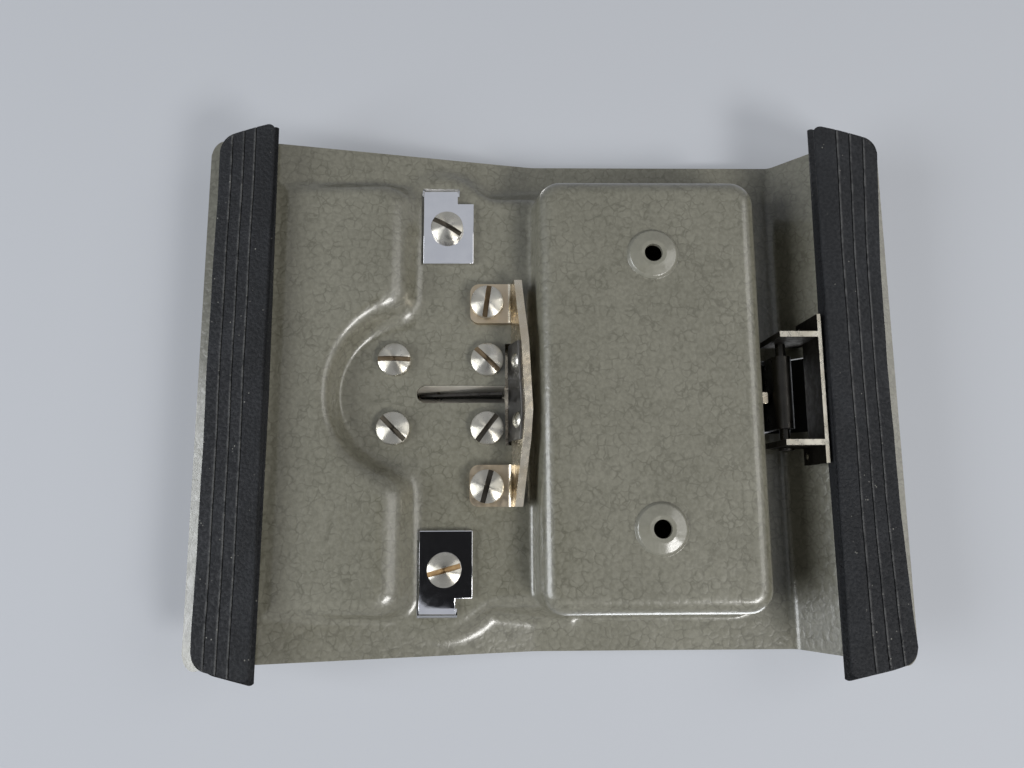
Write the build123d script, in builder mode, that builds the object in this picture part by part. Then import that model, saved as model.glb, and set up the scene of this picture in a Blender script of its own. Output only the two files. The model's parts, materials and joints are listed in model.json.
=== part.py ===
from build123d import *
import os
from math import atan, cos, radians, sin, tan

# Film splicer for 16 mm film. It stands on two rubber strips.
# Frame: +X is the user's right, +Y is away from the user, +Z is up. The origin is the middle of the footprint,
# on the surface that it stands on. All lengths are in millimetres.

# ---------------------------------------------------------------- base pressing
sheet = 1.0                    # steel sheet of the casing
case_half_width = 50.5
case_corner_radius = 3.0
lip_y = 69.0                   # front and rear lips of the sheet
valley_y = 54.6                # where the sheet is lowest, over the feet
valley_z = 4.5                 # heights of the sheet's middle
crest_z = 15.5
crest_front_y = -3.0           # the front ramp ends here
rear_leg_y = 50.9
heel_z = 7.6
heel_radius = 1.25
ramp_slope = (crest_z - valley_z) / (crest_front_y + valley_y)
lip_z = valley_z + ramp_slope * (lip_y - valley_y)
crest_radius = 8.0
rear_crest_radius = 3.0
valley_radius = 2.5
case_top = crest_z + sheet / 2
case_under = crest_z - sheet / 2
pan_top = case_top + 3.0       # the forming solids end above the sheet
right_through = 20.0           # length of a cut that only has to pass right through
near = 0.01                    # two places closer than this are the same

# ---------------------------------------------------------------- finger tray and its round bay
tray_level = valley_z - sheet / 2
pan_margin = 8.5               # from the casing's edge to the tray and the well
tray_half_width = case_half_width - pan_margin
tray_front_y = -53.6
tray_rear_y = -30.2
tray_corner_radius = 5.0
tray_side_draft = 15.0
tray_rear_draft = 36.0
tray_bevel = 0.9
tray_inner_bevel = 0.54
tray_wall_top = 14.0           # the walls of the tray's form end above the ramp
bay_radius = 19.2              # the bay's wall leans, from this circle at the tray's floor
bay_y = -23.8
bay_top_radius = 14.5          # to this one at the stage
bay_top_y = -28.2
bay_lip_radius = 3.0

# ---------------------------------------------------------------- film stage
stage_level = 9.5              # underside of the stage floor
stage_top = stage_level + sheet
stage_half_width = tray_half_width - 1.4
stage_front_y = -27.5
stage_draft = 36.0
bulge_radius = 10.5            # the floor swells out round each film rest
bulge_x = tray_half_width - 6.5
bulge_y = -22.4

# ---------------------------------------------------------------- well
well_level = 1.4
well_half_width = case_half_width - pan_margin
well_front_y = -2.2
well_rear_y = 40.9
well_corner_radius = 4.5
well_draft = 6.0
well_edge_radius = 2.5
well_floor = well_level + sheet
board_hole_radius = 1.9
board_hole_spacing = 52.9
board_hole_y = 20.1
dimple_radius = 4.9
dimple_tip_radius = 2.9
dimple_depth = 1.1

# ---------------------------------------------------------------- film
film_width = 16.0
film_front_y = -25.6
film_rear_y = film_front_y + film_width
film_plane = 15.0              # top of the beds, where the film lies
film_margin = 0.05             # side play of the film in its channel
perforation_inset = 1.82
perforation_pitch = 7.62

# ---------------------------------------------------------------- slots
cut_slot_width = 3.5
cut_slot_front_y = -26.5
cross_slot_half = 10.3
cross_slot_front_y = -8.8
cross_slot_width = 1.6

# ---------------------------------------------------------------- screws
screw_radius = 1.95
screw_hole_radius = 2.15
tapped_radius = 2.0
screw_head_radius = 3.25
screw_head_height = 2.1
screw_rim_height = 0.9
screw_slot_width = 1.1
screw_slot_depth = 1.1
screw_end_chamfer = 0.4
bed_screw_x = 6.9
bed_screw_front_y = -31.0
rear_screw_y = -12.4
bracket_screw_x = 18.4
rest_screw_x = case_half_width - 16.3
rest_screw_y = -20.6
bed_slot_angles = {(1, bed_screw_front_y): 91, (1, rear_screw_y): 134,
                   (-1, bed_screw_front_y): 135, (-1, rear_screw_y): 37}
bracket_slot_angles = {1: 8, -1: 15}
rest_slot_angles = {1: 120, -1: 75}

# ---------------------------------------------------------------- film beds
cut_gap = 0.7                  # between the two beds, where the blade runs
bed_top = 15.3
bed_rear_y = -8.9
bed_waist_x = 13.2
bed_wing_x = 24.0
bed_wing_rear_y = -16.8
bed_nose_radius = 13.9
bed_bevel_width = 1.3
bed_bevel_height = 3.3
bed_bore_depth = 3.6
bed_bore_end = 0.3             # air past the screw's end
relief_radius = 0.9
relief_y = -22.4
pin_radius = 0.55
pin_hole_radius = 0.56
pin_seat = 3.0
pin_stand = 1.0

# ---------------------------------------------------------------- hinge
hinge_y = -6.0
hinge_z = 18.6
hinge_pin_radius = 1.5
running_clearance = 0.05
knuckle_radius = 3.0
knuckle_half = 13.9            # outer end of the clamps' knuckles
side_gap = 0.3                 # between neighbours that move
ear_width = 4.0
foot_outer_x = 22.6
foot_front_y = -16.2
hinge_block_rear_y = -3.0
hinge_base = 3.0
hinge_bar_front_y = -6.5
hinge_head_radius = 2.5
hinge_head_height = 1.0
clip_groove_radius = 1.1
clip_thickness = 0.6
clip_radius = 2.6
pin_tail = 2.0

# ---------------------------------------------------------------- clamps and cutter
clamp_inner_x = 2.2
clamp_under = 15.6
clamp_thickness = 1.8
clamp_front_y = -46.5
clamp_nose_inner_x = 9.4
clamp_nose_outer_x = 18.8
clamp_waist_y = -27.6
clamp_neck_y = -36.0
clamp_nose_radius = 4.2
pin_clear_radius = 1.3
pad_thickness = 0.45
pad_margin = 0.45
clamp_knob_x = 14.1
clamp_knob_y = -41.3
cutter_half_width = 1.9
cutter_height = 3.4
cutter_thumb_y = -46.5
cutter_thumb_radius = 4.8
cutter_thumb_thickness = 1.8
blade_thickness = 0.5
blade_front_y = -26.2
blade_rear_y = -9.4
blade_front_z = 12.5
blade_rear_z = 8.7
blade_seat_top = 18.0
blade_slot_play = 0.02
blade_rivet_radius = 0.8
blade_rivet_ys = (-22.5, -12.5)
blade_rivet_z = 16.8

# ---------------------------------------------------------------- knobs
knob_radius = 4.4
knob_neck_radius = 2.4
knob_base_radius = 3.0
knob_height = 8.0
knob_neck_height = 2.4
knob_widest_height = 5.4
knob_shoulder_radius = 3.8
knob_shoulder_height = 7.2
knob_stud_radius = 1.2
knob_stud_play = 0.05

# ---------------------------------------------------------------- spring bracket and leaf spring
bracket_sheet = 1.5
bracket_half_width = 22.3
bracket_foot_front_y = -15.8
bracket_bend_y = -7.0
bracket_tip_z = 1.7
bracket_tip_y = -5.6
bracket_crown_half = 5.0
bracket_end_z = 5.2
bracket_foot_inner_x = 14.2
bracket_bend_radius = 1.8
bracket_corner_radius = 1.8
leaf_thickness = 0.5
leaf_half_width = 9.6
leaf_low_z = 2.7
leaf_knee_z = 8.1
leaf_tail_y = -3.7
leaf_bend_radii = [1.0, 1.2]
leaf_slit = 0.7
rivet_x = 5.8
rivet_z = 4.7
rivet_radius = 0.9
rivet_head_radius = 1.6
rivet_head_height = 0.7

# ---------------------------------------------------------------- film rests
rest_sheet = 1.0
# the tongue stands in a slot of the casing and carries the film's outer end
rest_tongue_x = case_half_width - 8.1
rest_inner_x = rest_tongue_x - 15.6
rest_rear_y = -15.2
rest_front_y = -25.5
rest_tongue_rear_y = -18.5
rest_shoulder_x = rest_tongue_x - 2.8
rest_bend_radius = 1.0
rest_slot_play = 0.35
nut_across_flats = 7.0
nut_height = 2.4
rest_thread_out = 0.6          # screw end above its nut

# ---------------------------------------------------------------- rubber feet
foot_inner_y = 54.2
rear_foot_inner_y = 53.0
foot_outer_y = 65.5
foot_half_length = case_half_width + 2.5
foot_outer_half_length = case_half_width - 0.5
foot_inner_corner_radius = 1.2
foot_outer_corner_radius = 4.0
foot_land = 3.2                # flat band that it stands on
foot_outer_z = 1.9
foot_groove_width = 0.7
foot_groove_depth = 0.9
foot_grooves = 3

# ---------------------------------------------------------------- lid and its hinge
lid_sheet = 1.0
lid_gap = 0.4                  # lid above the casing
lid_half_width = case_half_width - 5.0
lid_front_y = -1.6
lid_corner_radius = 3.0
lid_skirt_half_width = lid_half_width - 5.5
lid_skirt_low_z = 11.4
lid_panel_half_width = lid_half_width - 7.5
lid_panel_front_y = 4.0
lid_panel_rear_y = 38.0
lid_panel_rise = 1.0
lid_panel_draft = 45.0
lid_panel_corner_radius = 4.0
lid_knob_y = 10.0
lid_pin_y = 47.0
lid_pin_z = 9.0
lid_pin_radius = 1.0
lid_curl_radius = 1.9
strap_half_width = 7.3
strap_sheet = 1.2
strap_front_y = 38.9
strap_bend_radius = 1.0
strap_rivet_x = 4.2
strap_rivet_y = 41.6
strap_rivet_head = 0.35
notch_play = 0.3
notch_low_z = 9.1
u_sheet = 1.2
u_cheek_x = 9.8
u_cheek_front_y = 44.2
u_low_z = 1.2
u_cheek_top_z = 13.0
u_plate_half_width = 14.4
u_plate_top_z = 12.3
u_plate_dip_z = 9.0
u_rivet_x = 12.7
u_rivet_z = 11.0
u_rivet_radius = 0.8
u_rivet_head_radius = 1.3
u_rivet_head_height = 0.6
lid_pin_head_radius = 1.5
lid_pin_head = 0.6
stud_x = -0.8
stud_width = 2.4
stud_depth = 1.4
stud_rear_y = 44.4
stud_height = 5.0
stud_corner_radius = 0.3

os.makedirs("parts", exist_ok=True)


def save(builder, name):
    """Label a finished piece and write it as its own STEP file."""
    builder.part.label = name
    export_step(builder.part, f"parts/{name}.step")


def wall_inset(draft):
    """How far a drafted wall's inner face lies inside its outer face, one sheet higher up."""
    return sheet * (1 / cos(radians(draft)) - tan(radians(draft)))


def pan_form(plan, level, draft, edge_radius=0.0):
    """The solid that a pressed pan fills: walls that lean outwards from its plan, and a rounded floor edge."""
    with BuildPart() as form:
        with BuildSketch(Plane.XY.offset(level)):
            add(plan)
        extrude(amount=pan_top - level, taper=-draft)
        if edge_radius:
            fillet(form.edges().group_by(Axis.Z)[0], edge_radius)
    return form.part


def bay_circle(rise):
    """Middle and radius of the bay's leaning wall, at a height above the tray's underside."""
    share = rise / (stage_level - tray_level)
    return bay_y + share * (bay_top_y - bay_y), bay_radius + share * (bay_top_radius - bay_radius)


def tray_section(rise, side_inset, rear_inset):
    """The tray's outline at a height above its underside: a rectangle with a round bay in its rear edge."""
    half = tray_half_width + rise * tan(radians(tray_side_draft)) - side_inset
    front = tray_front_y - rise * tan(radians(tray_side_draft)) + side_inset
    rear = tray_rear_y + rise * tan(radians(tray_rear_draft)) - rear_inset
    middle, radius = bay_circle(rise)
    radius += rear_inset
    mouth = (radius ** 2 - (rear - middle) ** 2) ** 0.5
    with BuildSketch(Plane.XY.offset(tray_level + rise)) as plan:
        with BuildLine():
            Polyline((mouth, rear), (half, rear), (half, front), (-half, front), (-half, rear), (-mouth, rear))
            ThreePointArc((-mouth, rear), (0, middle - radius), (mouth, rear))
        make_face()
        fillet(plan.vertices().filter_by(lambda v: abs(v.X) > half - near), tray_corner_radius - side_inset)
        fillet(plan.vertices().filter_by(lambda v: abs(abs(v.X) - mouth) < near and abs(v.Y - rear) < near),
               bay_lip_radius)
    return plan.sketch


def tray_form(low, high, bevel, side_inset=0.0, rear_inset=0.0):
    """The solid that the tray fills between two heights, with a bevelled floor edge."""
    with BuildPart() as form:
        for rise, extra in ((low, bevel), (low + bevel, 0.0), (high, 0.0)):
            add(tray_section(rise, side_inset + extra, rear_inset + extra).face())
        loft(ruled=True)
    return form.part


def stage_plan(inset=0.0):
    """The film stage's floor: the floor of the bay, the stage itself and a bulge round each film rest."""
    with BuildSketch() as plan:
        Rectangle(2 * (stage_half_width - inset), -stage_front_y, align=(Align.CENTER, Align.MAX))
        with Locations((-bulge_x, bulge_y), (bulge_x, bulge_y)):
            Circle(bulge_radius - inset)
        with Locations((0, bay_top_y)):
            Circle(bay_top_radius - inset)
    return plan.sketch


def well_plan(inset=0.0):
    """The well's floor: a rectangle."""
    with BuildSketch() as plan:
        with Locations((0, (well_front_y + well_rear_y) / 2)):
            RectangleRounded(2 * (well_half_width - inset), well_rear_y - well_front_y - 2 * inset,
                             well_corner_radius - inset)
    return plan.sketch


# ================================================================ casing
bridge_line = [(-lip_y, lip_z), (-valley_y, valley_z), (crest_front_y, crest_z), (rear_leg_y, crest_z),
               (rear_leg_y, heel_z), (valley_y, valley_z), (lip_y, lip_z)]
bridge_radii = [valley_radius, crest_radius, rear_crest_radius, heel_radius, heel_radius]

# Walls of the pans end inside the bridge sheet. Round the bay they end level with the stage.
with BuildPart() as wall_limit:
    with BuildSketch(Plane.YZ):
        with BuildLine():
            bridge = FilletPolyline(*bridge_line, radius=bridge_radii)
            Polyline(bridge @ 1, (lip_y, -sheet), (-lip_y, -sheet), bridge @ 0)
        make_face()
    extrude(amount=case_half_width, both=True)
    with Locations((0, bay_y, 0)):
        Cylinder(bay_radius + 2 * sheet, stage_top, align=(Align.CENTER, Align.CENTER, Align.MIN))

tray_rise = tray_wall_top - tray_level
with BuildPart() as pan_walls:
    add(tray_form(0, tray_rise, tray_bevel))
    add(pan_form(stage_plan(), stage_level, stage_draft))
    add(pan_form(well_plan(), well_level, well_draft, well_edge_radius))
    add(wall_limit.part, mode=Mode.INTERSECT)

# Air in the bay, from below the tray up to the stage's floor.
with BuildPart() as bay_air:
    for rise in (-sheet, stage_level - tray_level):
        middle, radius = bay_circle(rise)
        with BuildSketch(Plane.XY.offset(tray_level + rise)):
            with Locations((0, middle)):
                Circle(radius)
    loft()

with BuildPart() as casing:
    with BuildSketch(Plane.YZ):
        with BuildLine():
            FilletPolyline(*bridge_line, radius=bridge_radii)
        trace(line_width=sheet)
    extrude(amount=case_half_width, both=True)
    add(pan_walls.part)
    add(tray_form(sheet, tray_rise + sheet, tray_inner_bevel, sheet / cos(radians(tray_side_draft)),
                  sheet / cos(radians(tray_rear_draft))), mode=Mode.SUBTRACT)
    add(pan_form(stage_plan(wall_inset(stage_draft)), stage_top, stage_draft), mode=Mode.SUBTRACT)
    add(pan_form(well_plan(wall_inset(well_draft)), well_floor, well_draft, well_edge_radius - sheet / 2),
        mode=Mode.SUBTRACT)
    add(bay_air.part, mode=Mode.SUBTRACT)
    # rounded corners
    with BuildSketch():
        RectangleRounded(2 * case_half_width, 2 * lip_y + sheet, case_corner_radius)
    extrude(amount=pan_top, mode=Mode.INTERSECT)
    # dimpled holes for screwing it to a board
    for side in (-1, 1):
        hole_x = side * board_hole_spacing / 2
        with Locations((hole_x, board_hole_y, well_level - dimple_depth)):
            Cone(dimple_tip_radius, dimple_radius, dimple_depth, align=(Align.CENTER, Align.CENTER, Align.MIN))
            Cylinder(board_hole_radius, 2 * sheet, align=(Align.CENTER, Align.CENTER, Align.MIN),
                     mode=Mode.SUBTRACT)
        with Locations((hole_x, board_hole_y, well_floor - dimple_depth)):
            Cone(dimple_tip_radius - sheet / 2, dimple_radius - sheet / 2, dimple_depth,
                 align=(Align.CENTER, Align.CENTER, Align.MIN), mode=Mode.SUBTRACT)
    # cut slot with a round front end, and the cross slot for the leaf spring
    with BuildSketch(Plane.XY.offset(stage_level)):
        slot_middle = (cut_slot_front_y + cross_slot_front_y) / 2
        with Locations((0, slot_middle + cut_slot_width / 4)):
            Rectangle(cut_slot_width, cross_slot_front_y - cut_slot_front_y - cut_slot_width / 2)
        with Locations((0, cut_slot_front_y + cut_slot_width / 2)):
            Circle(cut_slot_width / 2)
        with Locations((0, cross_slot_front_y + cross_slot_width / 2)):
            Rectangle(2 * cross_slot_half, cross_slot_width)
    extrude(amount=sheet, mode=Mode.SUBTRACT)
    # screw holes
    for side in (-1, 1):
        with Locations((side * bed_screw_x, bed_screw_front_y, stage_top),
                       (side * bed_screw_x, rear_screw_y, stage_top),
                       (side * bracket_screw_x, rear_screw_y, stage_top),
                       (side * rest_screw_x, rest_screw_y, stage_top)):
            Hole(screw_hole_radius, depth=sheet)
    # slots for the rests' tongues
    tongue_middle = (rest_front_y + rest_tongue_rear_y) / 2
    for side in (-1, 1):
        with Locations((side * rest_tongue_x, tongue_middle, stage_level + sheet / 2)):
            Box(rest_sheet + 2 * rest_slot_play, rest_tongue_rear_y - rest_front_y + 2 * rest_slot_play,
                2 * sheet, mode=Mode.SUBTRACT)
    # notch for the lid's arm, through the top and down the rear leg
    notch_front_y = lid_pin_y - lid_curl_radius - notch_play
    with Locations((0, notch_front_y, notch_low_z)):
        Box(2 * (strap_half_width + notch_play), rear_leg_y + 2 * sheet - notch_front_y, pan_top,
            align=(Align.CENTER, Align.MIN, Align.MIN), mode=Mode.SUBTRACT)
    # holes for the rivets of the lid's hinge bracket
    with BuildSketch(Plane.XZ.offset(-rear_leg_y)):
        with Locations((-u_rivet_x, u_rivet_z), (u_rivet_x, u_rivet_z)):
            Circle(u_rivet_radius)
    extrude(amount=2 * sheet, both=True, mode=Mode.SUBTRACT)
save(casing, "casing")


# ================================================================ rubber feet
def flange_underside(y):
    """Height of the sheet's underside outside the valley."""
    return valley_z + ramp_slope * (y - valley_y) - sheet / 2 / cos(atan(ramp_slope))


def foot_strip(inner_y, direction):
    """A ribbed strip under one flange. It stands on its flat inner band, and the rest slopes up outwards."""
    slope = foot_outer_z / (foot_outer_y - inner_y - foot_land)
    with BuildPart() as strip:
        with BuildSketch(Plane.YZ):
            with BuildLine():
                Polyline((direction * inner_y, 0), (direction * (inner_y + foot_land), 0),
                         (direction * foot_outer_y, foot_outer_z),
                         (direction * foot_outer_y, flange_underside(foot_outer_y)),
                         (direction * valley_y, flange_underside(valley_y)),
                         (direction * inner_y, flange_underside(valley_y)), close=True)
            make_face()
            pitch = (foot_outer_y - inner_y) / (foot_grooves + 1)
            for number in range(1, foot_grooves + 1):
                groove_y = inner_y + number * pitch
                groove_z = max(0.0, slope * (groove_y - inner_y - foot_land))
                with Locations((direction * groove_y, groove_z)):
                    Rectangle(foot_groove_width, 2 * foot_groove_depth, mode=Mode.SUBTRACT)
        extrude(amount=foot_half_length, both=True)
        with BuildSketch() as plan:
            with BuildLine():
                Polyline((-foot_half_length, direction * inner_y), (foot_half_length, direction * inner_y),
                         (foot_outer_half_length, direction * foot_outer_y),
                         (-foot_outer_half_length, direction * foot_outer_y), close=True)
            make_face()
            fillet(plan.vertices().sort_by(lambda v: abs(v.Y))[:2], foot_inner_corner_radius)
            fillet(plan.vertices().sort_by(lambda v: abs(v.Y))[-2:], foot_outer_corner_radius)
        extrude(amount=crest_z, mode=Mode.INTERSECT)
    return strip


save(foot_strip(foot_inner_y, -1), "front_foot_strip")
save(foot_strip(rear_foot_inner_y, 1), "rear_foot_strip")


# ================================================================ screws, rivets and nuts
def slotted_screw(shank_length):
    """A slotted screw with a domed head, head down: its seat is at z = 0 and its shank points up."""
    with BuildPart() as screw:
        with BuildSketch(Plane.XZ):
            with BuildLine():
                Polyline((0, -screw_head_height), (0, shank_length),
                         (screw_radius - screw_end_chamfer, shank_length),
                         (screw_radius, shank_length - screw_end_chamfer), (screw_radius, 0),
                         (screw_head_radius, 0), (screw_head_radius, -screw_rim_height))
                TangentArc((0, -screw_head_height), (screw_head_radius, -screw_rim_height), tangent=(1, 0))
            make_face()
        revolve(axis=Axis.Z)
        with Locations((0, 0, -screw_head_height)):
            Box(3 * screw_head_radius, screw_slot_width, 2 * screw_slot_depth, mode=Mode.SUBTRACT)
    return screw.part


def round_rivet(grip, radius, head_radius, head_height):
    """A rivet along Z with a domed head at each end of its grip."""
    with BuildPart() as rivet:
        with BuildSketch(Plane.XZ):
            with BuildLine():
                Line((0, -head_height), (0, grip + head_height))
                TangentArc((0, grip + head_height), (head_radius, grip), tangent=(1, 0))
                Polyline((head_radius, grip), (radius, grip), (radius, 0), (head_radius, 0))
                TangentArc((0, -head_height), (head_radius, 0), tangent=(1, 0))
            make_face()
        revolve(axis=Axis.Z)
    return rivet.part


bed_screw = slotted_screw(sheet + bed_bore_depth - bed_bore_end)
with BuildPart() as bed_screws:
    for (side, y), angle in bed_slot_angles.items():
        with Locations(Location((side * bed_screw_x, y, stage_level), (0, 0, angle))):
            add(bed_screw)
save(bed_screws, "bed_screws")

bracket_screw = slotted_screw(bracket_sheet + sheet + hinge_base)
with BuildPart() as bracket_screws:
    for side, angle in bracket_slot_angles.items():
        seat = (side * bracket_screw_x, rear_screw_y, stage_level - bracket_sheet)
        with Locations(Location(seat, (0, 0, angle))):
            add(bracket_screw)
save(bracket_screws, "bracket_screws")

rest_screw = slotted_screw(rest_sheet + sheet + nut_height + rest_thread_out)
with BuildPart() as rest_screws:
    for side, angle in rest_slot_angles.items():
        with Locations(Location((side * rest_screw_x, rest_screw_y, stage_level - rest_sheet), (0, 0, angle))):
            add(rest_screw)
save(rest_screws, "rest_screws")

with BuildPart() as rest_nuts:
    with BuildSketch(Plane.XY.offset(stage_top)):
        with Locations((-rest_screw_x, rest_screw_y), (rest_screw_x, rest_screw_y)):
            RegularPolygon(nut_across_flats / 2, 6, major_radius=False)
            Circle(tapped_radius, mode=Mode.SUBTRACT)
    extrude(amount=nut_height)
save(rest_nuts, "rest_nuts")

# ================================================================ film beds and register pins
pin_ys = (film_front_y + perforation_inset, film_rear_y - perforation_inset)
pin_xs = (perforation_pitch / 2, 3 * perforation_pitch / 2)
pin_places = [(x, y) for x in pin_xs for y in pin_ys]

with BuildPart() as right_film_bed:
    with BuildSketch(Plane.XY.offset(stage_top)):
        with BuildLine():
            Polyline((cut_gap / 2, film_front_y), (cut_gap / 2, bed_rear_y), (bed_waist_x, bed_rear_y),
                     (bed_waist_x, bed_wing_rear_y), (bed_wing_x, bed_wing_rear_y), (bed_wing_x, stage_front_y),
                     (cut_gap / 2, stage_front_y), close=True)
        make_face()
        with Locations((0, bay_y)):
            Circle(bed_nose_radius)
        with Locations((cut_gap / 2, 0)):
            Rectangle(2 * case_half_width, 2 * lip_y, align=(Align.MAX, Align.CENTER), mode=Mode.SUBTRACT)
    extrude(amount=bed_top - stage_top)
    # shallow channel that the film lies in
    with Locations((0, film_front_y - film_margin, film_plane)):
        Box(2 * case_half_width, film_width + 2 * film_margin, sheet,
            align=(Align.CENTER, Align.MIN, Align.MIN), mode=Mode.SUBTRACT)
    # bevel under the cutting edge
    with BuildSketch(Plane.XZ):
        with BuildLine():
            Polyline((0, stage_top), (cut_gap / 2 + bed_bevel_width, stage_top),
                     (cut_gap / 2, stage_top + bed_bevel_height), (0, stage_top + bed_bevel_height), close=True)
        make_face()
    extrude(amount=case_half_width, mode=Mode.SUBTRACT)
    with Locations((0, relief_y, stage_top)):
        Cylinder(relief_radius, 2 * bed_top, mode=Mode.SUBTRACT)
    with Locations((bed_screw_x, bed_screw_front_y, stage_top), (bed_screw_x, rear_screw_y, stage_top)):
        Cylinder(tapped_radius, bed_bore_depth, align=(Align.CENTER, Align.CENTER, Align.MIN),
                 mode=Mode.SUBTRACT)
    with Locations(*[(x, y, film_plane) for x, y in pin_places]):
        Hole(pin_hole_radius, depth=pin_seat)
save(right_film_bed, "right_film_bed")

with BuildPart() as left_film_bed:
    mirror(right_film_bed.part, about=Plane.YZ)
save(left_film_bed, "left_film_bed")

with BuildPart() as right_register_pins:
    with Locations(*[(x, y, film_plane - pin_seat) for x, y in pin_places]):
        Cylinder(pin_radius, pin_seat + pin_stand - pin_radius, align=(Align.CENTER, Align.CENTER, Align.MIN))
    with Locations(*[(x, y, film_plane + pin_stand - pin_radius) for x, y in pin_places]):
        Cone(pin_radius, pin_radius / 2, pin_radius, align=(Align.CENTER, Align.CENTER, Align.MIN))
save(right_register_pins, "right_register_pins")

with BuildPart() as left_register_pins:
    mirror(right_register_pins.part, about=Plane.YZ)
save(left_register_pins, "left_register_pins")

# ================================================================ hinge block, pin and clip
ear_inner_x = knuckle_half + side_gap
with BuildPart() as hinge_block:
    with BuildSketch(Plane.XY.offset(stage_top)):
        for side in (-1, 1):
            with BuildLine():
                Polyline((side * ear_inner_x, foot_front_y), (side * foot_outer_x, foot_front_y),
                         (side * foot_outer_x, hinge_block_rear_y), (side * ear_inner_x, hinge_block_rear_y),
                         close=True)
            make_face()
        with BuildLine():
            Polyline((-foot_outer_x, hinge_bar_front_y), (foot_outer_x, hinge_bar_front_y),
                     (foot_outer_x, hinge_block_rear_y), (-foot_outer_x, hinge_block_rear_y), close=True)
        make_face()
    extrude(amount=hinge_base)
    for side in (-1, 1):
        with BuildSketch(Plane.YZ.offset(side * (ear_inner_x + ear_width / 2))):
            with BuildLine():
                Polyline((hinge_y - knuckle_radius, hinge_z), (hinge_y - knuckle_radius, stage_top),
                         (hinge_block_rear_y, stage_top), (hinge_y + knuckle_radius, hinge_z))
                ThreePointArc((hinge_y + knuckle_radius, hinge_z), (hinge_y, hinge_z + knuckle_radius),
                              (hinge_y - knuckle_radius, hinge_z))
            make_face()
            with Locations((hinge_y, hinge_z)):
                Circle(hinge_pin_radius + running_clearance / 2, mode=Mode.SUBTRACT)
        extrude(amount=ear_width / 2, both=True)
    with Locations((-bracket_screw_x, rear_screw_y, stage_top + hinge_base),
                   (bracket_screw_x, rear_screw_y, stage_top + hinge_base)):
        Hole(tapped_radius, depth=hinge_base)
save(hinge_block, "hinge_block")

ear_outer_x = ear_inner_x + ear_width
hinge_axis = Plane(origin=(0, hinge_y, hinge_z), x_dir=(0, 1, 0), z_dir=(1, 0, 0))
with BuildPart() as hinge_pin:
    with BuildSketch(hinge_axis.offset(-ear_outer_x - pin_tail)):
        Circle(hinge_pin_radius)
    extrude(amount=2 * ear_outer_x + pin_tail)
    with BuildSketch(hinge_axis.offset(ear_outer_x)):
        Circle(hinge_head_radius)
    extrude(amount=hinge_head_height)
    fillet(hinge_pin.edges().group_by(Axis.X)[-1], hinge_head_height / 3)
    with BuildSketch(hinge_axis.offset(-ear_outer_x - running_clearance)):
        Circle(hinge_pin_radius)
        Circle(clip_groove_radius, mode=Mode.SUBTRACT)
    extrude(amount=-clip_thickness - running_clearance, mode=Mode.SUBTRACT)
save(hinge_pin, "hinge_pin")

with BuildPart() as hinge_clip:
    with BuildSketch(hinge_axis.offset(-ear_outer_x - running_clearance)):
        Circle(clip_radius)
        Circle(clip_groove_radius + running_clearance / 2, mode=Mode.SUBTRACT)
        with Locations((0, -clip_radius)):
            Rectangle(2 * clip_groove_radius, 2 * clip_radius, mode=Mode.SUBTRACT)
    extrude(amount=-clip_thickness)
save(hinge_clip, "hinge_clip")


# ================================================================ clamps
def knob_stud_hole(x, y, top, thickness):
    """Bore for a knob's stud, in the part being built."""
    with Locations((x, y, top)):
        Hole(knob_stud_radius + knob_stud_play, depth=thickness)


clamp_top = clamp_under + clamp_thickness
with BuildPart() as right_clamp:
    with BuildSketch(Plane.XY.offset(clamp_under)):
        with BuildLine():
            Polyline((clamp_inner_x, hinge_y), (clamp_inner_x, clamp_waist_y),
                     (clamp_nose_inner_x, clamp_neck_y), (clamp_nose_inner_x, clamp_front_y),
                     (clamp_nose_outer_x, clamp_front_y),
                     (clamp_nose_outer_x, clamp_neck_y), (knuckle_half, clamp_waist_y), (knuckle_half, hinge_y),
                     close=True)
        make_face()
    extrude(amount=clamp_thickness)
    front_edges = right_clamp.edges().filter_by(Axis.Z).group_by(Axis.Y)[0]
    fillet(front_edges, clamp_nose_radius)
    upright_edges = right_clamp.edges().filter_by(Axis.Z)
    neck_edges = upright_edges.filter_by(lambda e: abs(e.center().Y - clamp_neck_y) < near)
    fillet(neck_edges, clamp_nose_radius)
    with BuildSketch(Plane.YZ.offset(clamp_inner_x)):
        with Locations((hinge_y, hinge_z)):
            Circle(knuckle_radius)
    extrude(amount=knuckle_half - clamp_inner_x)
    with BuildSketch(Plane.YZ.offset(clamp_inner_x)):
        with Locations((hinge_y, hinge_z)):
            Circle(hinge_pin_radius + running_clearance)
    extrude(amount=knuckle_half - clamp_inner_x, mode=Mode.SUBTRACT)
    with Locations(*[(x, y, clamp_top) for x, y in pin_places]):
        Hole(pin_clear_radius, depth=clamp_thickness)
    knob_stud_hole(clamp_knob_x, clamp_knob_y, clamp_top, clamp_thickness)
save(right_clamp, "right_clamp")

with BuildPart() as left_clamp:
    mirror(right_clamp.part, about=Plane.YZ)
save(left_clamp, "left_clamp")

with BuildPart() as right_clamp_pad:
    with BuildSketch(Plane.XY.offset(clamp_under - pad_thickness)):
        with BuildLine():
            Polyline((clamp_inner_x, film_front_y + pad_margin), (knuckle_half, film_front_y + pad_margin),
                     (knuckle_half, film_rear_y - pad_margin), (clamp_inner_x, film_rear_y - pad_margin),
                     close=True)
        make_face()
        fillet(vertices(), pad_margin)
        with Locations(*pin_places):
            Circle(pin_clear_radius, mode=Mode.SUBTRACT)
    extrude(amount=pad_thickness)
save(right_clamp_pad, "right_clamp_pad")

with BuildPart() as left_clamp_pad:
    mirror(right_clamp_pad.part, about=Plane.YZ)
save(left_clamp_pad, "left_clamp_pad")


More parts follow.
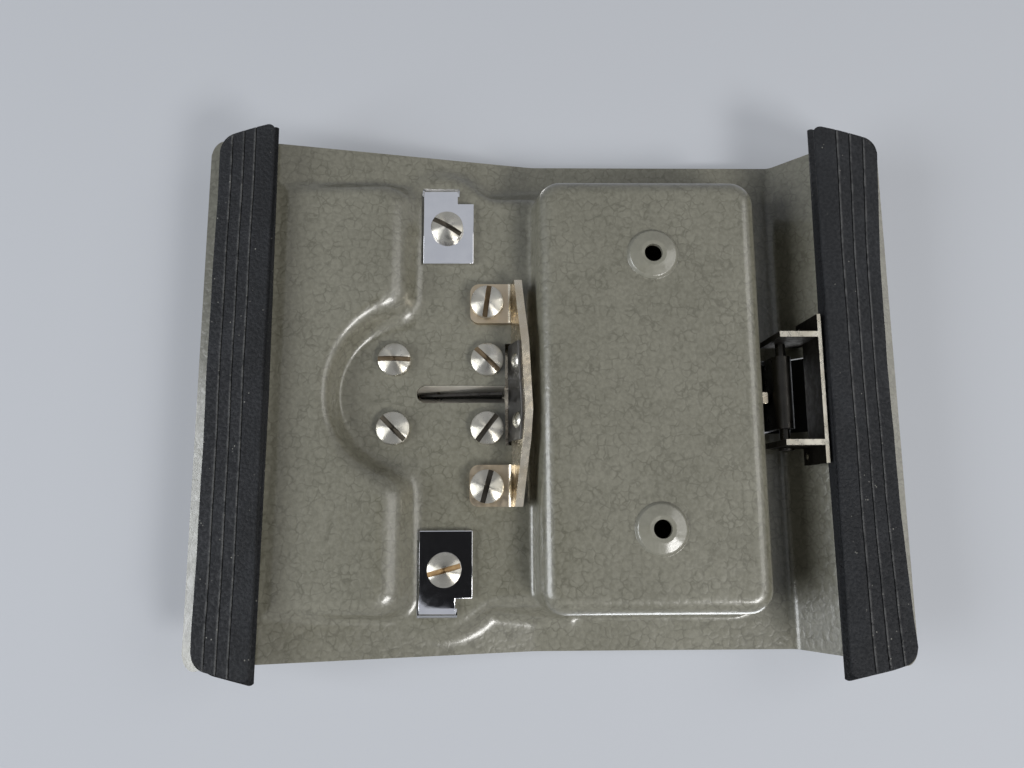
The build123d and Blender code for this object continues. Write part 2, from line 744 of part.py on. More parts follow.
# ================================================================ knobs
def finger_knob(x, y, seat, stud_length):
    """A turned knob standing on `seat`, with a stud down through the plate that carries it."""
    with BuildPart() as knob:
        with BuildSketch(Plane.XZ):
            with BuildLine():
                Polyline((0, knob_height), (0, -stud_length), (knob_stud_radius, -stud_length),
                         (knob_stud_radius, 0), (knob_base_radius, 0), (knob_neck_radius, knob_neck_height))
                Spline((knob_neck_radius, knob_neck_height), (knob_radius, knob_widest_height),
                       (knob_shoulder_radius, knob_shoulder_height), (0, knob_height),
                       tangents=[(0.2, 1), (-1, 0)])
            make_face()
        revolve(axis=Axis.Z)
    with BuildPart() as placed:
        with Locations((x, y, seat)):
            add(knob.part)
    return placed


save(finger_knob(clamp_knob_x, clamp_knob_y, clamp_top, clamp_thickness), "right_clamp_knob")
save(finger_knob(-clamp_knob_x, clamp_knob_y, clamp_top, clamp_thickness), "left_clamp_knob")

# ================================================================ cutter
cutter_top = clamp_under + cutter_height
with BuildPart() as cutter_arm:
    with BuildSketch(Plane.XY.offset(clamp_under)):
        with BuildLine():
            Polyline((-cutter_half_width, hinge_y), (cutter_half_width, hinge_y),
                     (cutter_half_width, cutter_thumb_y), (-cutter_half_width, cutter_thumb_y), close=True)
        make_face()
    extrude(amount=cutter_height)
    with BuildSketch(Plane.XY.offset(cutter_top - cutter_thumb_thickness)):
        with Locations((0, cutter_thumb_y)):
            Circle(cutter_thumb_radius)
    extrude(amount=cutter_thumb_thickness)
    with BuildSketch(Plane.YZ):
        with Locations((hinge_y, hinge_z)):
            Circle(knuckle_radius)
    extrude(amount=cutter_half_width, both=True)
    with BuildSketch(Plane.YZ):
        with Locations((hinge_y, hinge_z)):
            Circle(hinge_pin_radius + running_clearance)
    extrude(amount=cutter_half_width, both=True, mode=Mode.SUBTRACT)
    with Locations((0, (blade_front_y + blade_rear_y) / 2, clamp_under)):
        Box(blade_thickness + 2 * blade_slot_play, blade_rear_y - blade_front_y + 2 * blade_slot_play,
            2 * (blade_seat_top - clamp_under), mode=Mode.SUBTRACT)
    with BuildSketch(Plane.YZ):
        with Locations(*[(y, blade_rivet_z) for y in blade_rivet_ys]):
            Circle(blade_rivet_radius)
    extrude(amount=cutter_half_width, both=True, mode=Mode.SUBTRACT)
    knob_stud_hole(0, cutter_thumb_y, cutter_top, cutter_height)
save(cutter_arm, "cutter_arm")

with BuildPart() as cutter_blade:
    with BuildSketch(Plane.YZ.offset(-blade_thickness / 2)):
        with BuildLine():
            Polyline((blade_front_y, blade_seat_top), (blade_rear_y, blade_seat_top),
                     (blade_rear_y, blade_rear_z), (blade_front_y, blade_front_z), close=True)
        make_face()
        with Locations(*[(y, blade_rivet_z) for y in blade_rivet_ys]):
            Circle(blade_rivet_radius, mode=Mode.SUBTRACT)
    extrude(amount=blade_thickness)
save(cutter_blade, "cutter_blade")

with BuildPart() as blade_rivets:
    with BuildSketch(Plane.YZ):
        with Locations(*[(y, blade_rivet_z) for y in blade_rivet_ys]):
            Circle(blade_rivet_radius)
    extrude(amount=cutter_half_width, both=True)
save(blade_rivets, "blade_rivets")

save(finger_knob(0, cutter_thumb_y, cutter_top, cutter_thumb_thickness), "cutter_knob")

# ================================================================ spring bracket and leaf spring
foot_mid_z = stage_level - bracket_sheet / 2
plate_lean = (bracket_tip_y - bracket_bend_y) / (foot_mid_z - bracket_tip_z)
plate_angle = atan(plate_lean)


def plate_front(z):
    """Where the leaning plate's front face is at a height."""
    return bracket_bend_y + plate_lean * (foot_mid_z - z) - bracket_sheet / 2 / cos(plate_angle)


leaf_half = leaf_thickness / 2
leaf_offset = (bracket_sheet / 2 + leaf_half) / cos(plate_angle)


def leaf_line(z):
    """Where the leaf's middle is at a height, flat against the plate's front."""
    return bracket_bend_y + plate_lean * (foot_mid_z - z) - leaf_offset


plate_front_plane = Plane(origin=(0, plate_front(rivet_z), rivet_z), x_dir=(1, 0, 0),
                          z_dir=(0, cos(plate_angle), sin(plate_angle)))
with BuildPart() as spring_bracket:
    with BuildSketch(Plane.YZ):
        with BuildLine():
            FilletPolyline((bracket_foot_front_y, foot_mid_z), (bracket_bend_y, foot_mid_z),
                           (bracket_tip_y, bracket_tip_z), radius=bracket_bend_radius)
        trace(line_width=bracket_sheet)
    extrude(amount=bracket_half_width, both=True)
    # between the two feet the plate is flat up to its top
    with BuildSketch(plate_front_plane):
        Rectangle(2 * bracket_foot_inner_x, 2 * bracket_half_width)
    extrude(amount=-right_through, mode=Mode.SUBTRACT)
    with Locations((0, leaf_line(leaf_knee_z) + leaf_half + running_clearance, leaf_knee_z - leaf_thickness)):
        Box(2 * bracket_foot_inner_x, right_through, stage_level,
            align=(Align.CENTER, Align.MAX, Align.MIN), mode=Mode.SUBTRACT)
    # the plate is a trapezoid, deepest in the middle
    with BuildSketch(Plane.XZ.offset(-bracket_tip_y)):
        for side in (-1, 1):
            with BuildLine():
                Polyline((side * bracket_crown_half, -sheet),
                         (side * bracket_crown_half, bracket_tip_z - sheet),
                         (side * (bracket_half_width + sheet), bracket_end_z),
                         (side * (bracket_half_width + sheet), -sheet), close=True)
            make_face()
    extrude(amount=right_through, both=True, mode=Mode.SUBTRACT)
    with Locations((-bracket_screw_x, rear_screw_y, stage_level), (bracket_screw_x, rear_screw_y, stage_level)):
        Hole(screw_hole_radius, depth=bracket_sheet)
    with BuildSketch(plate_front_plane):
        with Locations((-rivet_x, 0), (rivet_x, 0)):
            Circle(rivet_radius)
    extrude(amount=bracket_sheet, mode=Mode.SUBTRACT)
    foot_corners = spring_bracket.edges().filter_by(Axis.Z).group_by(Axis.Y)[0]
    fillet(foot_corners, bracket_corner_radius)
save(spring_bracket, "spring_bracket")

leaf_top_mid = bed_top - leaf_half
with BuildPart() as leaf_spring:
    with BuildSketch(Plane.YZ):
        with BuildLine():
            FilletPolyline((leaf_line(leaf_low_z), leaf_low_z), (leaf_line(leaf_knee_z), leaf_knee_z),
                           (leaf_line(leaf_knee_z), leaf_top_mid), (leaf_tail_y, leaf_top_mid),
                           radius=leaf_bend_radii)
        trace(line_width=leaf_thickness)
    extrude(amount=leaf_half_width, both=True)
    for side in (-1, 1):
        slit_x = side * (cutter_half_width + side_gap / 2)
        with Locations((slit_x, leaf_line(leaf_knee_z), stage_top)):
            Box(leaf_slit, right_through, pan_top,
                align=(Align.CENTER, Align.CENTER, Align.MIN), mode=Mode.SUBTRACT)
    with BuildSketch(plate_front_plane):
        with Locations((-rivet_x, 0), (rivet_x, 0)):
            Circle(rivet_radius)
    extrude(amount=-leaf_thickness, mode=Mode.SUBTRACT)
save(leaf_spring, "leaf_spring")

leaf_rivet = round_rivet(leaf_thickness + bracket_sheet, rivet_radius, rivet_head_radius, rivet_head_height)
with BuildPart() as leaf_rivets:
    for side in (-1, 1):
        with Locations(plate_front_plane.offset(-leaf_thickness).location * Location((side * rivet_x, 0, 0))):
            add(leaf_rivet)
save(leaf_rivets, "leaf_rivets")

# ================================================================ film rests
rest_mid_z = stage_level - rest_sheet / 2
with BuildPart() as right_film_rest:
    with BuildSketch(Plane.XZ.offset(-rest_front_y)):
        with BuildLine():
            FilletPolyline((rest_inner_x, rest_mid_z), (rest_tongue_x, rest_mid_z), (rest_tongue_x, film_plane),
                           radius=rest_bend_radius)
        trace(line_width=rest_sheet)
    extrude(amount=-(rest_rear_y - rest_front_y))
    # the tongue is narrower than the tab
    with Locations((rest_shoulder_x, rest_tongue_rear_y, stage_level)):
        Box(right_through, right_through, case_top, align=(Align.MIN, Align.MIN, Align.CENTER),
            mode=Mode.SUBTRACT)
    with Locations((rest_screw_x, rest_screw_y, stage_level)):
        Hole(screw_hole_radius, depth=rest_sheet)
save(right_film_rest, "right_film_rest")

with BuildPart() as left_film_rest:
    mirror(right_film_rest.part, about=Plane.YZ)
save(left_film_rest, "left_film_rest")

# ================================================================ lid
lid_under = case_top + lid_gap
lid_top = lid_under + lid_sheet
strap_inner_y = lid_pin_y - lid_curl_radius
lid_rear_y = strap_inner_y - strap_bend_radius / 2
with BuildPart() as well_lid:
    with BuildSketch(Plane.XY.offset(lid_under)):
        with BuildLine():
            Polyline((-lid_half_width, lid_front_y), (lid_half_width, lid_front_y),
                     (lid_half_width, lid_rear_y), (-lid_half_width, lid_rear_y), close=True)
        make_face()
        fillet(vertices(), lid_corner_radius)
    extrude(amount=lid_sheet)
    # raised panel
    panel_middle = (lid_panel_front_y + lid_panel_rear_y) / 2
    panel_length = lid_panel_rear_y - lid_panel_front_y
    with BuildSketch(Plane.XY.offset(lid_top)):
        with Locations((0, panel_middle)):
            RectangleRounded(2 * lid_panel_half_width, panel_length, lid_panel_corner_radius)
    extrude(amount=lid_panel_rise, taper=lid_panel_draft)
    with BuildSketch(Plane.XY.offset(lid_under)):
        with Locations((0, panel_middle)):
            RectangleRounded(2 * (lid_panel_half_width - lid_sheet / 2), panel_length - lid_sheet,
                             lid_panel_corner_radius)
    extrude(amount=lid_panel_rise, taper=lid_panel_draft, mode=Mode.SUBTRACT)
    # front skirt that closes the step down to the film stage
    with Locations((0, lid_front_y, lid_skirt_low_z)):
        Box(2 * lid_skirt_half_width, lid_sheet, lid_under - lid_skirt_low_z,
            align=(Align.CENTER, Align.MIN, Align.MIN))
    knob_stud_hole(0, lid_knob_y, lid_top + lid_panel_rise, lid_sheet + lid_panel_rise)
    with Locations((-strap_rivet_x, strap_rivet_y, lid_top), (strap_rivet_x, strap_rivet_y, lid_top)):
        Hole(u_rivet_radius, depth=lid_sheet)
save(well_lid, "well_lid")

# the strap runs over the lid's rear edge and down through the notch, and is rolled round the hinge pin
with BuildPart() as lid_strap:
    with BuildSketch(Plane.YZ):
        with BuildLine():
            FilletPolyline((strap_front_y, lid_top + strap_sheet / 2),
                           (strap_inner_y + strap_sheet / 2, lid_top + strap_sheet / 2),
                           (strap_inner_y + strap_sheet / 2, lid_pin_z), radius=strap_bend_radius)
        trace(line_width=strap_sheet)
        with Locations((lid_pin_y, lid_pin_z)):
            Circle(lid_curl_radius)
            Circle(lid_pin_radius + running_clearance, mode=Mode.SUBTRACT)
    extrude(amount=strap_half_width, both=True)
    with Locations((-strap_rivet_x, strap_rivet_y, lid_top + strap_sheet),
                   (strap_rivet_x, strap_rivet_y, lid_top + strap_sheet)):
        Hole(u_rivet_radius, depth=strap_sheet)
save(lid_strap, "lid_strap")

strap_rivet = round_rivet(lid_sheet + strap_sheet, u_rivet_radius, u_rivet_head_radius, strap_rivet_head)
with BuildPart() as lid_strap_rivets:
    for side in (-1, 1):
        with Locations((side * strap_rivet_x, strap_rivet_y, lid_under)):
            add(strap_rivet)
save(lid_strap_rivets, "lid_strap_rivets")

save(finger_knob(0, lid_knob_y, lid_top + lid_panel_rise, lid_sheet), "lid_knob")

# ================================================================ lid hinge bracket, pin, rivets and stop
leg_inner_y = rear_leg_y - sheet / 2
u_plate_front_y = leg_inner_y - u_sheet
with BuildPart() as lid_hinge_bracket:
    with BuildSketch(Plane.XZ.offset(-leg_inner_y)):
        with BuildLine():
            Polyline((-u_plate_half_width, u_plate_top_z), (-u_plate_half_width, u_low_z),
                     (u_plate_half_width, u_low_z), (u_plate_half_width, u_plate_top_z),
                     (u_cheek_x, u_plate_top_z), (u_cheek_x, u_plate_dip_z), (-u_cheek_x, u_plate_dip_z),
                     (-u_cheek_x, u_plate_top_z), close=True)
        make_face()
        with Locations((-u_rivet_x, u_rivet_z), (u_rivet_x, u_rivet_z)):
            Circle(u_rivet_radius, mode=Mode.SUBTRACT)
    extrude(amount=u_sheet)
    for side in (-1, 1):
        with BuildSketch(Plane.YZ.offset(side * (u_cheek_x + u_sheet / 2))):
            with BuildLine():
                Polyline((u_cheek_front_y, u_low_z), (u_plate_front_y, u_low_z),
                         (u_plate_front_y, u_cheek_top_z), (u_cheek_front_y, u_cheek_top_z), close=True)
            make_face()
            with Locations((lid_pin_y, lid_pin_z)):
                Circle(lid_pin_radius + running_clearance / 2, mode=Mode.SUBTRACT)
        extrude(amount=u_sheet / 2, both=True)
save(lid_hinge_bracket, "lid_hinge_bracket")

pin_half = u_cheek_x + u_sheet
lid_axis = Plane(origin=(0, lid_pin_y, lid_pin_z), x_dir=(0, 1, 0), z_dir=(1, 0, 0))
with BuildPart() as lid_hinge_pin:
    with BuildSketch(lid_axis):
        Circle(lid_pin_radius)
    extrude(amount=pin_half + lid_pin_head, both=True)
    for side in (-1, 1):
        with BuildSketch(lid_axis.offset(side * pin_half)):
            Circle(lid_pin_head_radius)
        extrude(amount=side * lid_pin_head)
save(lid_hinge_pin, "lid_hinge_pin")

bracket_rivet = round_rivet(u_sheet + sheet, u_rivet_radius, u_rivet_head_radius, u_rivet_head_height)
with BuildPart() as lid_bracket_rivets:
    for side in (-1, 1):
        with Locations(Plane(origin=(side * u_rivet_x, u_plate_front_y, u_rivet_z), z_dir=(0, 1, 0)).location):
            add(bracket_rivet)
save(lid_bracket_rivets, "lid_bracket_rivets")

with BuildPart() as lid_stop_stud:
    with Locations((stud_x, stud_rear_y, case_under)):
        Box(stud_width, stud_depth, stud_height, align=(Align.CENTER, Align.MAX, Align.MAX))
    fillet(lid_stop_stud.edges().filter_by(Axis.Z), stud_corner_radius)
save(lid_stop_stud, "lid_stop_stud")
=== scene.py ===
import json
from math import atan, cos, pi, radians, sin, tan

import bmesh
import bpy
import numpy as np
from mathutils import Matrix, Vector


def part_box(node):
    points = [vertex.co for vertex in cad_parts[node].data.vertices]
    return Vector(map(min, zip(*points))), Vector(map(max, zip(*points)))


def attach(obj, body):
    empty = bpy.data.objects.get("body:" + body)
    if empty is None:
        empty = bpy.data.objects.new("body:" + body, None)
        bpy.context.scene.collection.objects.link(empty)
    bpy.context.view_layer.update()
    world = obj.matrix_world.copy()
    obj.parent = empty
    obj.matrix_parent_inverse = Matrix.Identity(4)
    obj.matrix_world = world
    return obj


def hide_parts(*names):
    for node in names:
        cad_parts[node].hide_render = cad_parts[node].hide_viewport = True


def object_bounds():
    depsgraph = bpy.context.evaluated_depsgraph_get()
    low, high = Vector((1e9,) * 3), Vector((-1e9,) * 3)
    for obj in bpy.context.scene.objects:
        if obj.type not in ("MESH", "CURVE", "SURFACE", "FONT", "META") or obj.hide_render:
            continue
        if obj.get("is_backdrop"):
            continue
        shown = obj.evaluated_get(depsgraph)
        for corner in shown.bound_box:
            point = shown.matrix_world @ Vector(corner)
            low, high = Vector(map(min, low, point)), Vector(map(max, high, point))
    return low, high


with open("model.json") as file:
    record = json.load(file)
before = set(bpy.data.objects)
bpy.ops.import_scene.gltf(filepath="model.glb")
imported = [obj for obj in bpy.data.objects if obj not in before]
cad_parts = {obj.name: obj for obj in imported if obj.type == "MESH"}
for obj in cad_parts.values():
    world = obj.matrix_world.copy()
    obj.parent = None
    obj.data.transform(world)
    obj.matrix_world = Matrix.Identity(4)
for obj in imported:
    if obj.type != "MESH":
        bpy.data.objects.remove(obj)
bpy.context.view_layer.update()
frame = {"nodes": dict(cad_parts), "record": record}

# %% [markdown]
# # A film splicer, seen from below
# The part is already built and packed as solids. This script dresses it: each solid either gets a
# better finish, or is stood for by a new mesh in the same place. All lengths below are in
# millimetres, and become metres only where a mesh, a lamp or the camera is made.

MM = 0.001

# %% [markdown]
# ## Camera
# The object lies upside down on a table in the picture, so in its own upright frame the camera
# looks up from under it. Picture right is +Y and picture up is +X. The place and the three small
# turns were worked out from the corners of the casing, the feet and the well.

# %% Camera
camera_place = (-21.58, -10.18, -141.3)
camera_turns = (1.019, -8.899, -0.098)     # degrees about X, Y and Z
focal_pixels = 760
picture_width = 1024
sensor_width = 36.0

upright = Matrix(((0, 1, 0), (1, 0, 0), (0, 0, -1)))
looking = upright
for axis, angle in zip("XYZ", camera_turns):
    looking = looking @ Matrix.Rotation(radians(angle), 3, axis)
camera_data = bpy.data.cameras.new("camera")
camera_data.sensor_width = sensor_width
camera_data.lens = focal_pixels / picture_width * sensor_width
camera_data.clip_start = 0.005
camera = bpy.data.objects.new("camera", camera_data)
camera.matrix_world = Matrix.Translation(Vector(camera_place) * MM) @ looking.transposed().to_4x4()
bpy.context.scene.collection.objects.link(camera)
bpy.context.scene.camera = camera
bpy.context.scene.view_settings.view_transform = "Standard"

# %% [markdown]
# ## Shader sums as Python sums
# A small class stands for one socket, so that colours and masks are written as sums. Everything
# else goes through one method that takes a node's type, its settings and its inputs. The finishes
# of the object and the plain sheets and backdrop round it are all made with it.


# %% Sockets that add up, and a finish
class Field:
    """What varies over a surface: one output socket of a tree of nodes."""

    def __init__(self, nodes, socket):
        self.nodes = nodes
        self.socket = socket

    def maths(self, operation, first, second):
        return self.nodes.node("ShaderNodeMath", {"operation": operation}, {0: first, 1: second})

    def __add__(self, other):
        return self.maths("ADD", self, other)

    def __sub__(self, other):
        return self.maths("SUBTRACT", self, other)

    def __rsub__(self, other):
        return self.maths("SUBTRACT", other, self)

    def __mul__(self, other):
        return self.maths("MULTIPLY", self, other)

    __radd__ = __add__
    __rmul__ = __mul__

    def step(self, low, high, start=0.0, end=1.0):
        """A smooth rise from start, where this is below low, to end, where it is above high."""
        return self.nodes.node("ShaderNodeMapRange", {"interpolation_type": "SMOOTHSTEP"},
                               {0: self, 1: low, 2: high, 3: start, 4: end})


class Nodes:
    """The nodes of a material, or of the world."""

    def __init__(self, owner):
        owner.use_nodes = True
        self.tree = owner.node_tree

    def node(self, kind, settings, inputs, out=0):
        """Adds a node: its settings first, then a value or a link for each of its sockets."""
        made = self.tree.nodes.new(kind)
        for name, value in settings.items():
            setattr(made, name, value)
        for name, value in inputs.items():
            if isinstance(value, Field):
                self.tree.links.new(value.socket, made.inputs[name])
            else:
                made.inputs[name].default_value = value
        return Field(self, made.outputs[out]) if made.outputs else None


class Finish(Nodes):
    """One material: a Principled shader whose fixed values are set on it, and the nodes that vary it."""

    def __init__(self, name, **constants):
        self.material = bpy.data.materials.new(name)
        super().__init__(self.material)
        self.shader = self.tree.nodes["Principled BSDF"]
        for socket, value in constants.items():
            self.shader.inputs[socket.replace("_", " ")].default_value = value
        self.place = self.node("ShaderNodeTexCoord", {}, {}, "Object")

    def feed(self, socket, value):
        self.tree.links.new(value.socket, self.shader.inputs[socket])

    def noise(self, per_mm, detail=2.0, out=0):
        """Cloudy noise with about that many clouds per millimetre."""
        inputs = {"Vector": self.place, "Scale": per_mm / MM, "Detail": detail}
        return self.node("ShaderNodeTexNoise", {}, inputs, out)

    def marked(self, attribute):
        """The number that an attribute of the mesh holds there, or 0 where the mesh has none of that name."""
        return self.node("ShaderNodeAttribute", {"attribute_name": attribute}, {}, "Fac")

    def mix(self, share, first, second):
        """A colour between two colours."""
        return self.node("ShaderNodeMix", {"data_type": "RGBA"}, {0: share, 6: first, 7: second}, 2)

    def bump(self, height, depth_mm, below=None):
        """Tilts the surface as if `height`, from 0 to 1, stood that many millimetres high."""
        inputs = {"Height": height, "Distance": depth_mm * MM, "Strength": 1.0}
        if below:
            inputs["Normal"] = below
        return self.node("ShaderNodeBump", {}, inputs)


# %% [markdown]
# ## Hammertone paint
# The casing is sprayed with a glossy enamel that draws up into small pillows as it dries. Between
# the pillows runs a net of thin darker lines. A Voronoi pattern gives the distance to the edge
# between two cells, which serves for the dark line and for the pillow's height. Noise bends the
# cells, so that they don't look like crystals, makes the net come and go, and mottles the colour.
# In the drawn dimples the paint has no net, and its colour is made paler there as painted sheen.

# %% Hammertone paint
paint_colour = (0.136, 0.131, 0.099, 1)
paint_shade = (0.075, 0.071, 0.050, 1)
paint_bright = (0.212, 0.205, 0.163, 1)
# painted sheen: a paler paint colour for the dimples
painted_dimple_sheen = (0.23, 0.225, 0.185, 1)
pillows_per_mm = 0.56
bend_mm = 1.5                    # how far noise bends the cells


def hammer_paint():
    """Mottled enamel with a dark net between its pillows. The attribute "drawn" is 1 in the dimples."""
    finish = Finish("hammer_paint", Roughness=0.3, IOR=1.5, Coat_Weight=0.5, Coat_Roughness=0.14)
    bend = finish.noise(0.7, 3.0, out=1)
    bend = finish.node("ShaderNodeVectorMath", {"operation": "SUBTRACT"}, {0: bend, 1: (0.5, 0.5, 0.5)})
    bend = finish.node("ShaderNodeVectorMath", {"operation": "MULTIPLY_ADD"},
                       {0: bend, 1: (bend_mm * MM,) * 3, 2: finish.place})
    cells = finish.node("ShaderNodeTexVoronoi", {"feature": "DISTANCE_TO_EDGE"},
                        {"Vector": bend, "Scale": pillows_per_mm / MM, "Randomness": 0.85})
    drawn = finish.marked("drawn")
    net = cells.step(0.0, 0.13, 1.0, 0.0)
    come_and_go = finish.noise(0.4, 2.0).step(0.35, 0.65)
    line = net * (0.15 + 0.85 * come_and_go) * (1 - drawn)
    cloud = finish.noise(0.06, 3.0).step(0.3, 0.7)
    mottle = finish.noise(1.3, 3.0).step(0.3, 0.7)
    colour = finish.mix(0.3 * cloud + 0.5 * mottle, paint_colour, paint_bright)
    colour = finish.mix(0.55 * line, colour, paint_shade)
    # painted sheen: the dimples get the paler colour
    finish.feed("Base Color", finish.mix(0.5 * drawn, colour, painted_dimple_sheen))
    finish.feed("Roughness", finish.noise(0.5, 2.0).step(0.3, 0.7, 0.28, 0.4))
    pillow = cells.step(0.0, 0.34)
    finish.feed("Normal", finish.bump(pillow, 0.022, finish.bump(finish.noise(0.9, 2.0), 0.05)))
    return finish


paint = hammer_paint()

# %% [markdown]
# ## Rubber
# The feet are black rubber strips that have aged: the skin is matt and pitted, and grit and dust
# sit in it as pale specks. The grid of the strips carries two attributes, which say where the skin
# is scuffed or coarse.


# %% Rubber
scuff_grey = (0.13, 0.13, 0.13, 1)
pit_black = (0.004, 0.004, 0.005, 1)
grit_pale = (0.27, 0.265, 0.24, 1)
specks_per_mm = 1.1


def rubber(name, colour, grit):
    """Worn rubber, scuffed where the attribute "worn_edge" is 1 and pitted where "coarse" is."""
    finish = Finish(name, Roughness=0.75, IOR=1.35)
    edge = finish.marked("worn_edge")
    coarse = finish.marked("coarse")
    pits = finish.noise(1.6, 4.0)
    specks = finish.node("ShaderNodeTexVoronoi", {"feature": "F1"},
                         {"Vector": finish.place, "Scale": specks_per_mm / MM})
    dusty = finish.noise(0.5, 2.0).step(0.58, 0.68) + 0.6 * edge + 0.35 * coarse
    speck = specks.step(0.08, 0.2, 1.0, 0.0) * dusty.step(0.3, 1.0)
    scuff = edge * finish.noise(0.5, 4.0).step(0.35, 0.6, 0.25, 1.0)
    worn = finish.noise(0.12, 4.0).step(0.4, 0.75)
    pale = tuple(2.4 * c for c in colour[:3]) + (1,)
    base = finish.mix(0.4 * worn, colour, pale)
    base = finish.mix(0.8 * scuff, base, scuff_grey)
    base = finish.mix(coarse * pits.step(0.42, 0.3), base, pit_black)
    finish.feed("Base Color", finish.mix(grit * speck, base, grit_pale))
    finish.feed("Roughness", pits.step(0.3, 0.7, 0.6, 0.88))
    grain = pits.step(0.25, 0.75) * (0.3 + 0.7 * coarse)
    finish.feed("Normal", finish.bump(grain, 0.24, finish.bump(finish.noise(5.0, 2.0), 0.02)))
    return finish


foot_rubber = rubber("ribbed_rubber", (0.0095, 0.0102, 0.0118, 1), 0.8)
pad_rubber = rubber("pad_rubber", (0.045, 0.045, 0.045, 1), 0.0)

# %% [markdown]
# ## Metals
# All the metals are one recipe: a metallic base whose roughness varies with fine scratches, and a
# little tarnish. A lathe leaves rings finer than any pixel, and they spread each reflection into a
# fan that runs out from the middle. The shader's own anisotropy does this. It follows circles round
# the middle of an object, so each screw is an object of its own, and it is turned by a quarter. Old
# dirt sits in the sawn slots and on other faces that are marked with an attribute. On the lid hinge
# bracket the marked faces are instead painted near black, as painted shade.


# %% Metals
grey_dirt = (0.10, 0.088, 0.07, 1)
# painted shade: near black, for the faces of the lid hinge bracket that don't look down
painted_shade_black = (0.02, 0.018, 0.015, 1)
brassy_grease = (0.36, 0.24, 0.12, 1)


def metal(name, colour, tarnish, roughness, scratch=0.01, dirt_and_shade=grey_dirt, **constants):
    """A metal. Dirt covers it where the attribute "slot" is 1, dried brassy where "brassy" is 1 too; on the
    lid hinge bracket that colour is painted shade.
    """
    finish = Finish(name, **{"Metallic": 1.0, **constants})
    cloud = finish.noise(0.25, 4.0).step(0.35, 0.7)
    slot = finish.marked("slot")
    # the colour where "slot" is 1: dirt on the screws and the spring bracket, painted shade on the lid hinge
    # bracket
    crust_and_shade = finish.mix(finish.marked("brassy"), dirt_and_shade, brassy_grease)
    finish.feed("Base Color", finish.mix(slot, finish.mix(0.6 * cloud, colour, tarnish), crust_and_shade))
    smear = finish.noise(0.9, 4.0).step(0.3, 0.7, 0.75 * roughness, 1.35 * roughness)
    finish.feed("Roughness", smear + 0.3 * slot)
    finish.feed("Normal", finish.bump(finish.noise(6.0, 2.0), scratch))
    return finish


nickel_turned = metal("nickel_turned", (0.66, 0.64, 0.59, 1), (0.50, 0.47, 0.40, 1), 0.26)
nickel_faced = metal("nickel_faced", (0.56, 0.535, 0.47, 1), (0.44, 0.41, 0.34, 1), 0.32, 0.006,
                     Anisotropic=0.9, Anisotropic_Rotation=0.25)
nickel_sheet = metal("nickel_sheet", (0.64, 0.58, 0.47, 1), (0.50, 0.41, 0.28, 1), 0.22)
# nickel whose marked faces are painted near black, as painted shade
nickel_with_painted_shade = metal("nickel_with_painted_shade", (0.50, 0.47, 0.40, 1), (0.30, 0.27, 0.21, 1), 0.3, dirt_and_shade=painted_shade_black)
chrome_sheet = metal("chrome_sheet", (0.78, 0.78, 0.80, 1), (0.70, 0.70, 0.73, 1), 0.06, 0.001)
ground_steel = metal("ground_steel", (0.56, 0.53, 0.47, 1), (0.44, 0.40, 0.33, 1), 0.42, Metallic=0.35)
dark_steel = metal("dark_steel", (0.16, 0.155, 0.15, 1), (0.09, 0.085, 0.08, 1), 0.38)
# dark steel made near black as painted shade, for the cutter blade, the lid's strap and its pin
shaded_black_steel = metal("shaded_black_steel", (0.05, 0.047, 0.042, 1), (0.03, 0.028, 0.025, 1), 0.35)


# %% [markdown]
# ## Black moulding
# The knobs are a hard black moulding with a dull shine. Fingers have worn it unevenly, so noise
# clouds its colour and its roughness a little.


# %% Black moulding, for the knobs
def moulding():
    """Hard black moulding, clouded a little by wear."""
    finish = Finish("black_moulding", Roughness=0.25, IOR=1.5)
    worn = finish.noise(0.3, 3.0).step(0.4, 0.7)
    finish.feed("Base Color", finish.mix(worn, (0.02, 0.02, 0.021, 1), (0.035, 0.034, 0.033, 1)))
    finish.feed("Roughness", finish.noise(0.8, 4.0).step(0.3, 0.7, 0.18, 0.34))
    finish.feed("Normal", finish.bump(finish.noise(1.2, 2.0), 0.01))
    return finish


black_moulding = moulding()

# %% [markdown]
# ## From arrays to a piece
# Each new shape is an array of points, worked out as a whole. One function turns it into a mesh, and
# another gives it its finish, hangs it on the body it rides on and hides the solid it stands for.

# %% From arrays to a piece
bodies = frame["record"]["behaviour"]["bodies"]
body_of_node = {node: body for body, members in bodies.items() for node in members}
sharp_angle = radians(32)


def grid_faces(rows, columns, round_rows=False, round_columns=False):
    """Quads between neighbours on a grid numbered row by row. A round side joins its end to its start."""
    row = np.arange(rows if round_rows else rows - 1)[:, None]
    column = np.arange(columns if round_columns else columns - 1)
    next_row = (row + 1) % rows
    next_column = (column + 1) % columns
    corners = [row * columns + column, row * columns + next_column,
               next_row * columns + next_column, next_row * columns + column]
    return np.stack(corners, axis=-1).reshape(-1, 4)


def new_mesh(name, points, faces):
    """A mesh from points in millimetres."""
    mesh = bpy.data.meshes.new(name)
    mesh.from_pydata(np.asarray(points, float) * MM, [], faces)
    return mesh


def mark(mesh, name, values, domain="POINT"):
    """Stores a number for each point, or each face, of a mesh, for its finish to read."""
    layer = mesh.attributes.new(name, "FLOAT", domain)
    layer.data.foreach_set("value", np.asarray(values, np.float32).ravel())


def outwards(mesh):
    """Merges doubled points and turns every face outwards."""
    work = bmesh.new()
    work.from_mesh(mesh)
    bmesh.ops.remove_doubles(work, verts=work.verts, dist=1e-7)
    bmesh.ops.recalc_face_normals(work, faces=work.faces)
    work.to_mesh(mesh)
    work.free()


